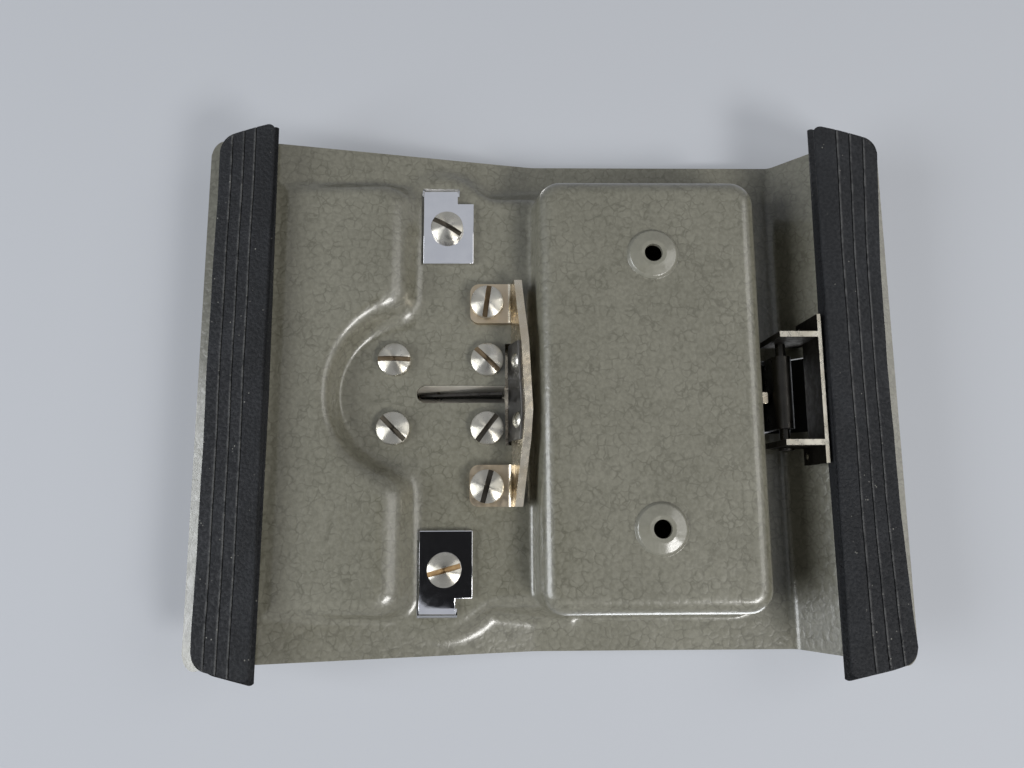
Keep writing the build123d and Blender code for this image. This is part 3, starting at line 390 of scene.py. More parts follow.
def show(mesh, finish, stands_for, name=None):
    """Puts a finished mesh in the scene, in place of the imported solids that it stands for."""
    piece = bpy.data.objects.new(name or stands_for[0] + "_dressed", mesh)
    bpy.context.scene.collection.objects.link(piece)
    mesh.shade_smooth()
    mesh.set_sharp_from_angle(angle=sharp_angle)
    mesh.materials.clear()
    mesh.materials.append(finish.material)
    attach(piece, body_of_node[stands_for[0]])
    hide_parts(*stands_for)
    return piece


def carve(mesh, tools):
    """The mesh with other closed meshes cut out of it."""
    scene = bpy.context.scene
    piece = bpy.data.objects.new("work", mesh)
    scene.collection.objects.link(piece)
    helpers = []
    for tool in tools:
        helper = bpy.data.objects.new("tool", tool)
        scene.collection.objects.link(helper)
        helpers.append(helper)
        cut = piece.modifiers.new("cut", "BOOLEAN")
        cut.solver = "MANIFOLD"
        cut.operation = "DIFFERENCE"
        cut.object = helper
    graph = bpy.context.evaluated_depsgraph_get()
    carved = bpy.data.meshes.new_from_object(piece.evaluated_get(graph))
    for item in (piece, *helpers):
        bpy.data.objects.remove(item)
    return carved


def prism(outline, low, high):
    """A closed upright prism on an outline of (x, y) points."""
    count = len(outline)
    rings = np.vstack([np.column_stack([outline, np.full(count, z)]) for z in (low, high)])
    faces = [tuple(f) for f in grid_faces(2, count, round_columns=True)]
    faces += [tuple(range(count))[::-1], tuple(range(count, 2 * count))]
    mesh = new_mesh("prism", rings, faces)
    outwards(mesh)
    return mesh


def circle(x, y, radius, count=64):
    """Points at even angles round a middle, each the radius times the angle's cosine and sine away."""
    angle = np.arange(count) * 2 * pi / count
    return np.column_stack([x + radius * np.cos(angle), y + radius * np.sin(angle)])


def rectangle(low_x, low_y, high_x, high_y):
    """The corners of a rectangle, one after another."""
    return np.array([(low_x, low_y), (high_x, low_y), (high_x, high_y), (low_x, high_y)], float)


# %% [markdown]
# ## Casing
# The real casing is one sheet of steel, pressed in one blow: a wedge-shaped bridge with a finger
# tray, a round bay, a raised stage and a deep well drawn into it. Drawn steel has no sharp folds,
# and the light on its soft edges is most of what the picture shows. So its underside is worked out
# as a height over a grid: each form is a distance field, and fields are joined with rounded joins.
# The sheet's thickness is added afterwards.

# %% Rounded joins between distance fields
sheet = 1.0


def overlap(a, b, radius):
    """The inside of both forms, with the outer edge between them rounded."""
    a, b = a + radius, b + radius
    return np.minimum(np.maximum(a, b), 0) + np.hypot(np.maximum(a, 0), np.maximum(b, 0)) - radius


def union(a, b, radius):
    """The inside of either form, with the corner between them filled by a round fillet."""
    a, b = radius - a, radius - b
    return radius - np.minimum(np.maximum(a, b), 0) - np.hypot(np.maximum(a, 0), np.maximum(b, 0))


def box_distance(x, y, half_x, low_y, high_y, corner):
    """Distance outside a rectangle with round corners."""
    across = np.abs(x) - half_x + corner
    along = np.abs(y - (low_y + high_y) / 2) - (high_y - low_y) / 2 + corner
    outside = np.hypot(np.maximum(across, 0), np.maximum(along, 0))
    return outside + np.minimum(np.maximum(across, along), 0) - corner


def leaning(distance, height, draft):
    """Distance outside a wall that leans outwards by `draft` degrees as it rises."""
    return (distance - height * tan(radians(draft))) * cos(radians(draft))


# %% The bridge's own section
valley_y, valley_z = 54.6, 4.5
crest_y, crest_z = -3.0, 15.5
lip_y, leg_y, leg_lean = 69.0, 49.2, 39.4         # the rear leg leans by this many degrees
slope = (crest_z - valley_z) / (crest_y + valley_y)
lip_z = valley_z + slope * (lip_y - valley_y)
# where the leaning rear leg, coming down from the crest's height, meets the rear flange
leg_slope = 1 / tan(radians(leg_lean))
rear_valley_y = (crest_z - valley_z + slope * valley_y + leg_y * leg_slope) / (slope + leg_slope)
rear_valley_z = valley_z + slope * (rear_valley_y - valley_y)
print("rear valley, mm:", round(rear_valley_y, 2), round(rear_valley_z, 2))


def filleted(corners, radii, step):
    """
    Points about `step` apart along a polyline whose inner corners are replaced by arcs.

    An arc touches both lines at its radius times tan(turn / 2) from the corner.
    """
    corners = np.asarray(corners, float)
    path = [corners[0]]
    for before, corner, after, radius in zip(corners, corners[1:], corners[2:], radii):
        come = (corner - before) / np.linalg.norm(corner - before)
        leave = (after - corner) / np.linalg.norm(after - corner)
        turn = np.arccos(np.clip(come @ leave, -1, 1))
        reach = radius * tan(turn / 2)
        side = np.sign(come[0] * leave[1] - come[1] * leave[0])
        middle = corner - come * reach + side * radius * np.array([-come[1], come[0]])
        start = corner - come * reach - middle
        angles = np.linspace(0, side * turn, max(3, int(np.ceil(abs(turn) / radians(7.5))) + 1))
        arc = np.column_stack([start[0] * np.cos(angles) - start[1] * np.sin(angles),
                               start[0] * np.sin(angles) + start[1] * np.cos(angles)])
        path.extend(middle + arc)
    path.append(corners[-1])
    path = np.array(path)
    kept = [path[0]]
    for a, b in zip(path, path[1:]):
        pieces = max(1, int(np.ceil(np.linalg.norm(b - a) / step)))
        kept.extend(a + (b - a) * np.arange(1, pieces + 1)[:, None] / pieces)
    return np.array(kept)


bridge = filleted([(-lip_y, lip_z), (-valley_y, valley_z), (crest_y, crest_z), (leg_y, crest_z),
                   (rear_valley_y, rear_valley_z), (lip_y, lip_z)], (2.5, 8.0, 2.6, 2.0), 0.4)
along = np.gradient(bridge, axis=0)
along /= np.linalg.norm(along, axis=1)[:, None]
under = bridge + sheet / 2 * np.column_stack([along[:, 1], -along[:, 0]])
pressed_end = 46.0               # behind this line there is nothing but the bent sheet
front_part = under[under[:, 0] < pressed_end]
rear_part = under[np.argmax(under[:, 0] >= pressed_end):]
print("bridge section:", len(front_part), "+", len(rear_part), "points")

# %% The pressed forms
tray_z, stage_z, well_z = 4.0, 9.5, 1.4
wall_draft, ramp_draft, well_draft = 15.0, 36.0, 6.0
tray_half, tray_front, tray_back = 42.0, -53.6, -30.2
stage_half, stage_front = 40.6, -27.5
well_half, well_front, well_back, well_corner = 42.0, -2.2, 40.9, 4.5
rest_bulge = (35.5, -22.4, 10.5)                  # middle and radius, round each film rest
bay_low = (-23.8, 19.2)                           # middle and radius at the tray's floor
bay_high = (-28.2, 14.5)                          # and at the stage
bay_rim = 3.0


def bay_distance(x, y, z):
    """Distance outside the round bay: a leaning cone, whose middle and radius change evenly with height."""
    share = (z - tray_z) / (stage_z - tray_z)
    middle = bay_low[0] + share * (bay_high[0] - bay_low[0])
    radius = bay_low[1] + share * (bay_high[1] - bay_low[1])
    reach = np.hypot(x, y - middle)
    lean = (bay_high[1] - bay_low[1] + (y - middle) / np.maximum(reach, 1e-6) * (bay_high[0] - bay_low[0]))
    return (reach - radius) / np.hypot(1, lean / (stage_z - tray_z))


def casing_distance(x, y, z):
    """Distance below the casing's underside: the bridge, tray, stage and well joined together."""
    outside_bay = -bay_distance(x, y, z)
    height = np.interp(y, front_part[:, 0], front_part[:, 1])
    lean = np.interp(y, front_part[:, 0], np.gradient(front_part[:, 1], front_part[:, 0]))
    form = overlap((height - z) / np.hypot(1, lean), outside_bay, 1.0)
    # tray
    rise = z - tray_z
    wall = np.maximum(leaning(np.abs(x) - tray_half, rise, wall_draft),
                      leaning(tray_front - y, rise, wall_draft))
    wall = overlap(wall, leaning(y - tray_back, rise, ramp_draft), 4.0)
    tray = overlap(overlap(wall, outside_bay, 3.0), tray_z - z, 2.4)
    form = union(form, tray, 1.2)
    # stage, with a bulge round each film rest
    rise = z - stage_z
    floor = np.maximum(np.abs(x) - stage_half, np.maximum(stage_front - y, y))
    bulge = np.hypot(np.abs(x) - rest_bulge[0], y - rest_bulge[1]) - rest_bulge[2]
    nose = np.hypot(x, y - bay_high[0]) - bay_high[1] - bay_rim
    floor = np.minimum(union(floor, bulge, 3.0), nose)
    stage = overlap(leaning(floor, rise, ramp_draft), stage_z - z, 1.2)
    form = union(form, stage, 1.5)
    # well
    well = box_distance(x, y, well_half, well_front, well_back, well_corner)
    well = leaning(well, z - well_z, well_draft)
    return union(form, overlap(well, well_z - z, 3.1), 1.4)


halvings = 26                    # enough to find a height to less than a thousandth of a micrometre


def underside(x, y):
    """Height of the underside over each (x, y), found by halving the gap between air and steel."""
    low, high = np.zeros_like(x), np.full_like(x, crest_z + 1.5)
    for _ in range(halvings):
        middle = (low + high) / 2
        air = casing_distance(x, y, middle) > 0
        low, high = np.where(air, middle, low), np.where(air, high, middle)
    return (low + high) / 2


# %% Grid lines, close together where the sheet bends
def lines(marks):
    """
    Places from the first mark to the last, spaced as each (place, spacing) mark asks near it.

    One over the spacing is summed along the way, and a place is read off at each whole number.
    """
    places, spacing = np.array(marks, float).T
    fine = np.linspace(places[0], places[-1], 20001)
    count = np.concatenate([[0], np.cumsum(np.diff(fine) / np.interp(fine[1:], places, spacing))])
    return np.interp(np.linspace(0, count[-1], int(round(count[-1])) + 1), count, fine)


half_lines = lines([(0, 1.0), (12, 0.85), (20, 0.77), (36, 0.77), (38.5, 0.31), (41, 0.23), (43.6, 0.23),
                    (45.5, 0.48), (50.5, 0.8)])
line_x = np.concatenate([-half_lines[:0:-1], half_lines])
line_y = lines([(-69.1, 0.3), (-66, 0.4), (-64, 0.8), (-57, 0.5), (-53, 0.5), (-50, 0.9), (-46, 0.6),
                (-44, 0.3), (-40, 0.4), (-31, 0.5), (-24, 0.5), (-21, 0.8), (-6, 0.7), (-4.5, 0.25),
                (-1.5, 0.2), (1.0, 0.3), (3, 0.8), (35, 1.1), (37.5, 0.35), (40, 0.2), (43, 0.2),
                (45, 0.4), (pressed_end, 0.5)])
grid_x, grid_y = np.meshgrid(line_x, line_y[1:-1], indexing="ij")
grid_z = underside(grid_x, grid_y)
row = np.ones((len(line_x), 1))
section_y = np.concatenate([[under[0, 0]], line_y[1:-1], rear_part[:, 0]])
section_z = np.hstack([row * under[0, 1], grid_z, row * rear_part[:, 1]])
print("casing grid:", section_z.shape, "highest, mm:", round(float(section_z.max()), 2))

# %% The sheet: corners rounded, thickness added, holes punched
corner_radius = 3.0
case_half = 50.5
flare_most, flare_from, flare_over = 1.8, 57.0, 10.0        # the lips spread a little when pressed
past = np.clip(np.abs(section_y) - (lip_y - corner_radius), 0, corner_radius)
flare = flare_most * np.clip((np.abs(section_y) - flare_from) / flare_over, 0, 1) ** 1.5
width = case_half + flare - corner_radius + np.sqrt(np.maximum(corner_radius ** 2 - past ** 2, 0))
points = np.stack([line_x[:, None] * width / case_half, np.broadcast_to(section_y, section_z.shape),
                   section_z], axis=-1)


def thicken(points, thickness):
    """A closed sheet from a grid of points: the grid, and the same grid moved along its normals."""
    rows, columns, _ = points.shape
    normal = np.cross(np.gradient(points, axis=0), np.gradient(points, axis=1))
    normal /= np.linalg.norm(normal, axis=2)[:, :, None]
    other = points + thickness * normal
    count = rows * columns
    faces = grid_faces(rows, columns)
    index = np.arange(count).reshape(rows, columns)
    rim = np.concatenate([index[0], index[1:, -1], index[-1, -2::-1], index[-2:0:-1, 0]])
    after = np.roll(rim, -1)
    sides = np.column_stack([rim, after, after + count, rim + count])
    mesh = new_mesh("sheet", np.vstack([points.reshape(-1, 3), other.reshape(-1, 3)]),
                    np.vstack([faces, faces[:, ::-1] + count, sides]))
    outwards(mesh)
    return mesh


casing_mesh = thicken(points, sheet)
print("casing faces before punching:", len(casing_mesh.polygons))
board_holes = [(-26.45, 20.1), (26.45, 20.1)]
# on either side two screws hold a film bed, one the spring bracket and one a film rest
stage_screw_places = [(6.9, -31.0), (6.9, -12.4), (18.4, -12.4), (34.2, -20.6)]
through_stage = (8.0, 12.0)                       # heights from which and to which a punch reaches
cut_half, cut_front, cut_back = 1.75, -24.75, -8.0
cut_end = np.linspace(pi, 2 * pi, 24)
cut_slot = np.vstack([[(cut_half, cut_back), (-cut_half, cut_back)],
                      np.column_stack([cut_half * np.cos(cut_end), cut_front + cut_half * np.sin(cut_end)])])
cross_slot = rectangle(-10.3, -8.8, 10.3, -7.2)   # for the leaf spring
strap_notch = rectangle(-7.6, 44.4, 7.6, 57.5)    # for the lid's strap
tongue_slots = [rectangle(side * 42.4 - 0.85, -25.85, side * 42.4 + 0.85, -18.15) for side in (-1, 1)]
punches = [prism(cut_slot, *through_stage), prism(cross_slot, *through_stage), prism(strap_notch, 8.8, 18.0)]
punches += [prism(circle(x, y, 4.4), -1.0, 4.0) for x, y in board_holes]
punches += [prism(circle(side * x, y, 2.15, 32), *through_stage)
            for side in (-1, 1) for x, y in stage_screw_places]
punches += [prism(slot, 8.0, 13.5) for slot in tongue_slots]
casing_mesh = carve(casing_mesh, punches)
show(casing_mesh, paint, ["casing"], "casing_pressing")
print("casing faces:", len(casing_mesh.polygons))

# %% [markdown]
# ## Dimples
# The splicer can be screwed to a board through two holes, each in a small dimple pressed down from
# the well's floor. A dimple is a round profile turned about the hole, and its brim lies just proud
# of the floor round it.


# %% Turned shapes
def turned(profile, count=64):
    """The points of a profile of (radius, height) points turned about Z, one row for each angle."""
    angle = np.arange(count)[:, None] * 2 * pi / count
    radius, height = np.asarray(profile, float).T
    points = np.stack([radius * np.cos(angle), radius * np.sin(angle),
                       np.broadcast_to(height, (count, len(height)))], axis=-1)
    return points.reshape(-1, 3)


def ring_mesh(profile, place):
    """A ring whose section is a closed profile."""
    count = 96
    points = turned(profile, count) + np.asarray(place, float)
    mesh = new_mesh("ring", points, grid_faces(count, len(profile), True, True))
    outwards(mesh)
    return mesh


def join(meshes):
    """Several meshes as one."""
    work = bmesh.new()
    for mesh in meshes:
        work.from_mesh(mesh)
    joined = bpy.data.meshes.new("joined")
    work.to_mesh(joined)
    work.free()
    return joined


lower = filleted([(6.2, 1.394), (5.05, 1.39), (4.55, 0.8), (2.5, 0.2), (1.75, 0.3)], (0.2, 0.6, 0.5), 0.3)
upper = filleted([(1.75, 1.3), (2.5, 1.3), (4.7, 2.406), (6.2, 2.402)], (0.5, 0.8), 0.3)
profile = np.vstack([lower, upper])
dimples = join([ring_mesh(profile, (x, y, 0)) for x, y in board_holes])
spot = np.empty(len(dimples.vertices) * 3)
dimples.vertices.foreach_get("co", spot)
spot = spot.reshape(-1, 3) / MM
reach = np.min([np.hypot(spot[:, 0] - x, spot[:, 1] - y) for x, y in board_holes], axis=0)
drawn_radius = 4.9               # inside the brim
# inside the brim the paint has no net and gets the paler painted sheen
mark(dimples, "drawn", reach < drawn_radius)
show(dimples, paint, ["casing"], "board_dimples")

# %% [markdown]
# ## Feet
# Two strips of ribbed rubber are glued under the flanges. The section is a closed profile carried
# along the strip, whose ends are cut at a slant. Rubber this old has lost its edge, so the
# profile's corners are rounded, and a few sine waves make the free side of the strip wander a
# little.


# %% Feet
def flange(y):
    """Height of the casing's underside outside the valley."""
    return valley_z + slope * (y - valley_y) - sheet / 2 / cos(atan(slope))


def foot(inner_y, valley, direction, phase, bow, coarse_end):
    """
    A ribbed strip: a closed section carried along X, whose ends are cut at a slant, with round corners.

    `phase` shifts the waves, `bow` makes the strip wider towards its ends, and `coarse_end` is 1 or -1
    for the end that is pitted, or 0 where both are alike.
    """
    outer_y, outer_z, land = 65.5, 1.9, 3.2
    groove_half, groove_deep = 0.12, 0.3
    scuff_middle, scuff_half = 0.14, 0.16         # the scuffed line beside each groove
    inner_reach, outer_reach, end_lean = 53.0, 50.0, 0.007
    bow_half, bow_level = 47, 0.35
    coarse_from, coarse_over = 5.0, 30
    free_below = 3.0                              # above this the strip is glued to the flange
    top = valley_z - sheet / 2
    rise = outer_z / (outer_y - inner_y - land)
    grooves = inner_y + (outer_y - inner_y) * np.array([0.33, 0.54, 0.76])
    corners = [(inner_y, 0), (inner_y + land, 0)]
    for middle in grooves:
        level = max(0.0, rise * (middle - inner_y - land))
        corners += [(middle - groove_half, level), (middle - groove_half / 2, level + groove_deep),
                    (middle + groove_half / 2, level + groove_deep), (middle + groove_half, level)]
    corners.sort(key=lambda corner: corner[0])
    corners = [(inner_y, top)] + corners
    corners += [(outer_y, outer_z), (outer_y, flange(outer_y)), (valley, flange(valley)), (inner_y, top)]
    section = filleted(corners, [0.35] + [0.05] * (len(corners) - 5) + [0.35, 0.2, 0.2], 0.4)[:-1]
    y, z = section.T
    plan = filleted([(inner_y, 0), (inner_y, inner_reach), (outer_y, outer_reach), (outer_y, 0)],
                    (1.2, 4.0), 0.3)[1:-1]
    plan = plan[np.concatenate([[True], np.diff(plan[:, 0]) > 1e-4])]
    reach = np.interp(y, plan[:, 0], plan[:, 1])
    share = np.linspace(-1, 1, 141)[:, None]
    x = share * reach * (1 + end_lean * z)
    under = z < free_below
    wander = 0.07 * np.sin(5.0 * share + phase) + 0.04 * np.sin(13.0 * share + 2 * phase)
    across = (y - inner_y) / (outer_y - inner_y)
    widen = bow * ((x / bow_half) ** 2 - bow_level) * across
    swell = 0.03 * np.sin(31.0 * share + 0.8 * y + phase)
    points = np.stack([x, direction * (y + wander * under + widen),
                       np.clip(z + swell * under, 0, None) + 0 * x], axis=-1)
    rows, columns = points.shape[:2]
    faces = [tuple(f) for f in grid_faces(rows, columns, round_columns=True)]
    faces += [tuple(range(columns)), tuple(range((rows - 1) * columns, rows * columns))]
    mesh = new_mesh("foot", points.reshape(-1, 3), faces)
    beside = np.abs(y[:, None] - grooves - scuff_middle).min(axis=1)
    scuffed = np.clip(1 - beside / scuff_half, 0, 1) * under
    mark(mesh, "worn_edge", np.broadcast_to(scuffed, (rows, columns)))
    coarse = 0.5 + coarse_end * (x - coarse_from * coarse_end) / coarse_over
    mark(mesh, "coarse", np.clip(coarse, 0, 1))
    outwards(mesh)
    return mesh


show(foot(54.2, valley_y, -1, 0.4, 0.0, 0.0), foot_rubber, ["front_foot_strip"])
show(foot(53.0, rear_valley_y, 1, 2.1, 1.4, -1.0), foot_rubber, ["rear_foot_strip"])

# %% [markdown]
# ## Screws
# Each screw has a low domed head that was faced on a lathe, and a sawn slot. The head is a profile
# turned about its axis, and the slot is cut out of it. The faces that the saw left are marked, so
# that the finish can darken them.


# %% Screws
def screw_mesh(shank, place, slot_angle, brassy):
    """A domed screw, head down, with its slot at an angle to X. The dome is part of a ball."""
    head, depth, rim, slot_half, slot_floor = 3.25, 2.1, 1.35, 0.5, -1.2
    shank_radius, chamfer = 1.95, 0.4
    dome_radius = (head ** 2 + (depth - rim) ** 2) / 2 / (depth - rim)
    radius = np.linspace(0, head - 0.12, 26)
    dome = np.column_stack([radius, dome_radius - depth - np.sqrt(dome_radius ** 2 - radius ** 2)])
    body = [(head, -rim + 0.06), (head, -0.1), (head - 0.1, 0), (shank_radius, 0),
            (shank_radius, shank - chamfer), (shank_radius - chamfer, shank), (0, shank)]
    profile = np.vstack([dome, body])
    count = 72
    mesh = new_mesh("screw", turned(profile, count), grid_faces(count, len(profile), round_rows=True))
    outwards(mesh)
    mesh = carve(mesh, [prism(rectangle(-6, -slot_half, 6, slot_half), -4.0, slot_floor)])
    middle = np.empty(len(mesh.polygons) * 3)
    mesh.polygons.foreach_get("center", middle)
    middle = middle.reshape(-1, 3) / MM
    near = 0.01
    sawn = (np.abs(middle[:, 1]) < slot_half + near) & (middle[:, 2] < slot_floor + near)
    mark(mesh, "slot", sawn, "FACE")
    mark(mesh, "brassy", brassy * sawn, "FACE")
    mesh.transform(Matrix.Translation(Vector(place) * MM) @ Matrix.Rotation(radians(slot_angle), 4, "Z"))
    return mesh


# node, length of shank, x, y and z of the face under the head, and the slot's angle
screws = [("bed_screws", 4.3, 6.9, -31.0, 9.5, 91), ("bed_screws", 4.3, 6.9, -12.4, 9.5, 134),
          ("bed_screws", 4.3, -6.9, -31.0, 9.5, 135), ("bed_screws", 4.3, -6.9, -12.4, 9.5, 37),
          ("bracket_screws", 5.5, 18.4, -12.4, 8.0, 8), ("bracket_screws", 5.5, -18.4, -12.4, 8.0, 15),
          ("rest_screws", 5.0, 34.2, -20.6, 8.5, 120), ("rest_screws", 5.0, -34.2, -20.6, 8.5, 75)]
greased = {("rest_screws", -34.2): 1.0, ("bracket_screws", 18.4): 0.5, ("bed_screws", 6.9): 0.25}
for number, (node, shank, x, y, z, angle) in enumerate(screws, 1):
    mesh = screw_mesh(shank, (x, y, z), angle, greased.get((node, x), 0.0))
    show(mesh, nickel_faced, [node], f"screw_{number}")

# %% [markdown]
# ## Pieces whose solid is right
# Many pieces are already right in shape, and lack only the tiny round on each edge that catches the
# light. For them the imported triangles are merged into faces, and a Bevel modifier rounds every edge
# sharper than a limit. Round pins and rivets go without. The spring bracket is bent a little out of
# true in the picture, so it and what is riveted to it are cut across at several places, and their
# points are moved back.


# %% Pieces with eased edges
bend_marks = [(-22.0, 0.0), (-4.0, 1.3), (12.0, 0.5), (22.0, 0.0)]     # x, and the free edge's way back
bend_cuts = (-16.0, -10.0, -4.0, 2.0, 7.0, 12.0, 17.0)
feet_end_y = -9.5                # the feet in front of this stay flat
bend_low, bend_high = 3.0, 8.0   # heights between which the bend fades out


def bend_back(work):
    """Bends the spring bracket's plate, or a piece on it, between its feet and its free edge."""
    for x in bend_cuts:
        everything = work.verts[:] + work.edges[:] + work.faces[:]
        bmesh.ops.bisect_plane(work, geom=everything, plane_co=(x * MM, 0, 0), plane_no=(1, 0, 0), dist=1e-7)
    for vert in work.verts:
        x, y, z = vert.co / MM
        if y > feet_end_y:
            share = np.clip((bend_high - z) / (bend_high - bend_low), 0, 1)
            vert.co.y += MM * np.interp(x, *zip(*bend_marks)) * share


bent = ("spring_bracket", "leaf_spring", "leaf_rivets")
stain_above, stain_before, stain_strength = 7.2, -8.2, 0.45       # a height, a y and a share, on its feet
bevel_over = radians(38)


def eased(node, finish, width):
    """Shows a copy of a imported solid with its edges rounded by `width` millimetres."""
    mesh = frame["nodes"][node].data.copy()
    work = bmesh.new()
    work.from_mesh(mesh)
    bmesh.ops.remove_doubles(work, verts=work.verts, dist=1e-6)
    bmesh.ops.dissolve_limit(work, angle_limit=radians(1.0), verts=work.verts, edges=work.edges)
    if node in bent:
        bend_back(work)
    work.to_mesh(mesh)
    work.free()
    if node == "spring_bracket":
        stain = [stain_strength * (face.center.z > stain_above * MM and face.center.y < stain_before * MM)
                 for face in mesh.polygons]
        mark(mesh, "slot", stain, "FACE")
        mark(mesh, "brassy", np.ones(len(stain)), "FACE")
    piece = show(mesh, finish, [node])
    if width:
        bevel = piece.modifiers.new("eased", "BEVEL")
        bevel.width = width * MM
        bevel.segments = 2
        bevel.limit_method = "ANGLE"
        bevel.angle_limit = bevel_over


eased_pieces = {
    "rest_nuts": (nickel_turned, "nickel_turned", 0.2),
    "spring_bracket": (nickel_sheet, "nickel_sheet", 0.2),
    "left_film_rest": (chrome_sheet, "chrome_sheet", 0.12),
    "right_film_rest": (chrome_sheet, "chrome_sheet", 0.12),
    "left_film_bed": (ground_steel, "ground_steel", 0.15),
    "right_film_bed": (ground_steel, "ground_steel", 0.15),
    "hinge_block": (ground_steel, "ground_steel", 0.25), "hinge_pin": (nickel_turned, "nickel_turned", 0.1),
    "hinge_clip": (dark_steel, "dark_steel", 0.08), "leaf_spring": (dark_steel, "dark_steel", 0.08),
    "left_clamp": (nickel_sheet, "nickel_sheet", 0.25), "right_clamp": (nickel_sheet, "nickel_sheet", 0.25),
    # the cutter blade, the lid strap and the lid's pin take the near-black steel, as painted shade
    "cutter_arm": (nickel_sheet, "nickel_sheet", 0.3), "cutter_blade": (shaded_black_steel, "dark_steel", 0.05),
    "lid_strap": (shaded_black_steel, "dark_steel", 0.12),
    "lid_stop_stud": (nickel_sheet, "nickel_sheet", 0.1), "well_lid": (paint, "hammer_paint", 0.3),
    "lid_hinge_pin": (shaded_black_steel, "nickel_turned", 0.1),
    "left_register_pins": (nickel_turned, "nickel_turned", 0),
    "right_register_pins": (nickel_turned, "nickel_turned", 0),
    "leaf_rivets": (nickel_turned, "nickel_turned", 0), "blade_rivets": (nickel_turned, "nickel_turned", 0.1),
    "lid_strap_rivets": (nickel_turned, "nickel_turned", 0),
    "left_clamp_pad": (pad_rubber, "pad_rubber", 0.06), "right_clamp_pad": (pad_rubber, "pad_rubber", 0.06),
}
for node, (finish, slot, width) in eased_pieces.items():
    eased(node, finish, width)

# %% [markdown]
# ## Lid hinge bracket
# The U-shaped bracket behind the well is bent from thin sheet: a plate whose two ears are riveted
# to the leaning rear leg, and two cheeks that carry the lid's pin. They are flat, so each is an
# outline made thick. Only the faces that look down keep the bright metal. The rest are painted near
# black, as painted shade.


# %% Lid hinge bracket
def slab(outline, low, high, turn):
    """A plate on an outline of (a, b) points, between two distances along the third axis, c, and turned."""
    mesh = prism(np.array(outline, float), low, high)
    mesh.transform(turn)
    outwards(mesh)
    return mesh


facing_rear = Matrix(((1, 0, 0, 0), (0, 0, 1, 0), (0, 1, 0, 0), (0, 0, 0, 1)))      # (a, b, c) to (x, z, y)
facing_side = Matrix(((0, 0, 1, 0), (1, 0, 0, 0), (0, 1, 0, 0), (0, 0, 0, 1)))      # (a, b, c) to (y, z, x)
plate_front, plate_back, plate_low = 51.6, 52.3, 1.2
plate_half, ear_top = 14.4, 12.0
opening_half, opening_low = 9.8, 9.0              # between the ears
plate_outline = [(-plate_half, ear_top), (-plate_half, plate_low), (plate_half, plate_low),
                 (plate_half, ear_top), (opening_half, ear_top), (opening_half, opening_low),
                 (-opening_half, opening_low), (-opening_half, ear_top)]
cheek_front, cheek_top, cheek_inner, cheek_outer = 44.2, 12.6, 9.9, 11.0
cheek = [(cheek_front, plate_low), (plate_front, plate_low), (plate_front, cheek_top),
         (cheek_front, cheek_top)]
hinge_mesh = join([slab(plate_outline, plate_front, plate_back, facing_rear),
                   slab(cheek, -cheek_outer, -cheek_inner, facing_side),
                   slab(cheek, cheek_inner, cheek_outer, facing_side)])
looks_down = -0.9                # the upward part of the normal below which a face looks down
# painted shade: every face that doesn't look down is marked for the near-black colour
mark(hinge_mesh, "slot", [face.normal.z >= looks_down for face in hinge_mesh.polygons], "FACE")
show(hinge_mesh, nickel_with_painted_shade, ["lid_hinge_bracket"])

leg_out = Vector((0, cos(radians(leg_lean)), sin(radians(leg_lean))))
rivet_x, rivet_z = 12.7, 10.4
rivet_sunk = 1.4                 # from the leg's middle plane forwards to the profile's zero
rivet_y = leg_y + (crest_z - rivet_z) * tan(radians(leg_lean))
rivet = [(0, -0.6), (0.5, -0.55), (1.0, -0.32), (1.3, 0), (0.8, 0.02), (0.8, 1.9), (1.3, 1.92), (1.0, 2.22),
         (0.5, 2.45), (0, 2.5)]
along_leg = leg_out.to_track_quat("Z", "X").to_matrix().to_4x4()
rivet_meshes = []
for x in (-rivet_x, rivet_x):
    mesh = new_mesh("rivet", turned(rivet, 32), grid_faces(32, len(rivet), round_rows=True))
    start = Vector((x, rivet_y, rivet_z)) - leg_out * rivet_sunk
    mesh.transform(Matrix.Translation(start * MM) @ along_leg)
    outwards(mesh)
    rivet_meshes.append(mesh)
show(join(rivet_meshes), nickel_turned, ["lid_bracket_rivets"])

# %% [markdown]
# ## Knobs
# The four finger knobs are turned from black moulding: a waist for the finger, a wide brim and a
# low dome. The profile is drawn as a smooth curve through the widths that a caliper would give, and
# turned about the knob's axis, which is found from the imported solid.


# %% Knobs
def smooth(points, pieces=8):
    """A cubic between each two points, with the slope at a point taken from its two neighbours."""
    points = np.asarray(points, float)
    slopes = np.gradient(points, axis=0)
    t = np.linspace(0, 1, pieces, endpoint=False)[:, None]
    spans = [(2 * t ** 3 - 3 * t ** 2 + 1) * a + (t ** 3 - 2 * t ** 2 + t) * da
             + (3 * t ** 2 - 2 * t ** 3) * b + (t ** 3 - t ** 2) * db
             for a, da, b, db in zip(points, slopes, points[1:], slopes[1:])]
    return np.vstack(spans + [points[-1:]])


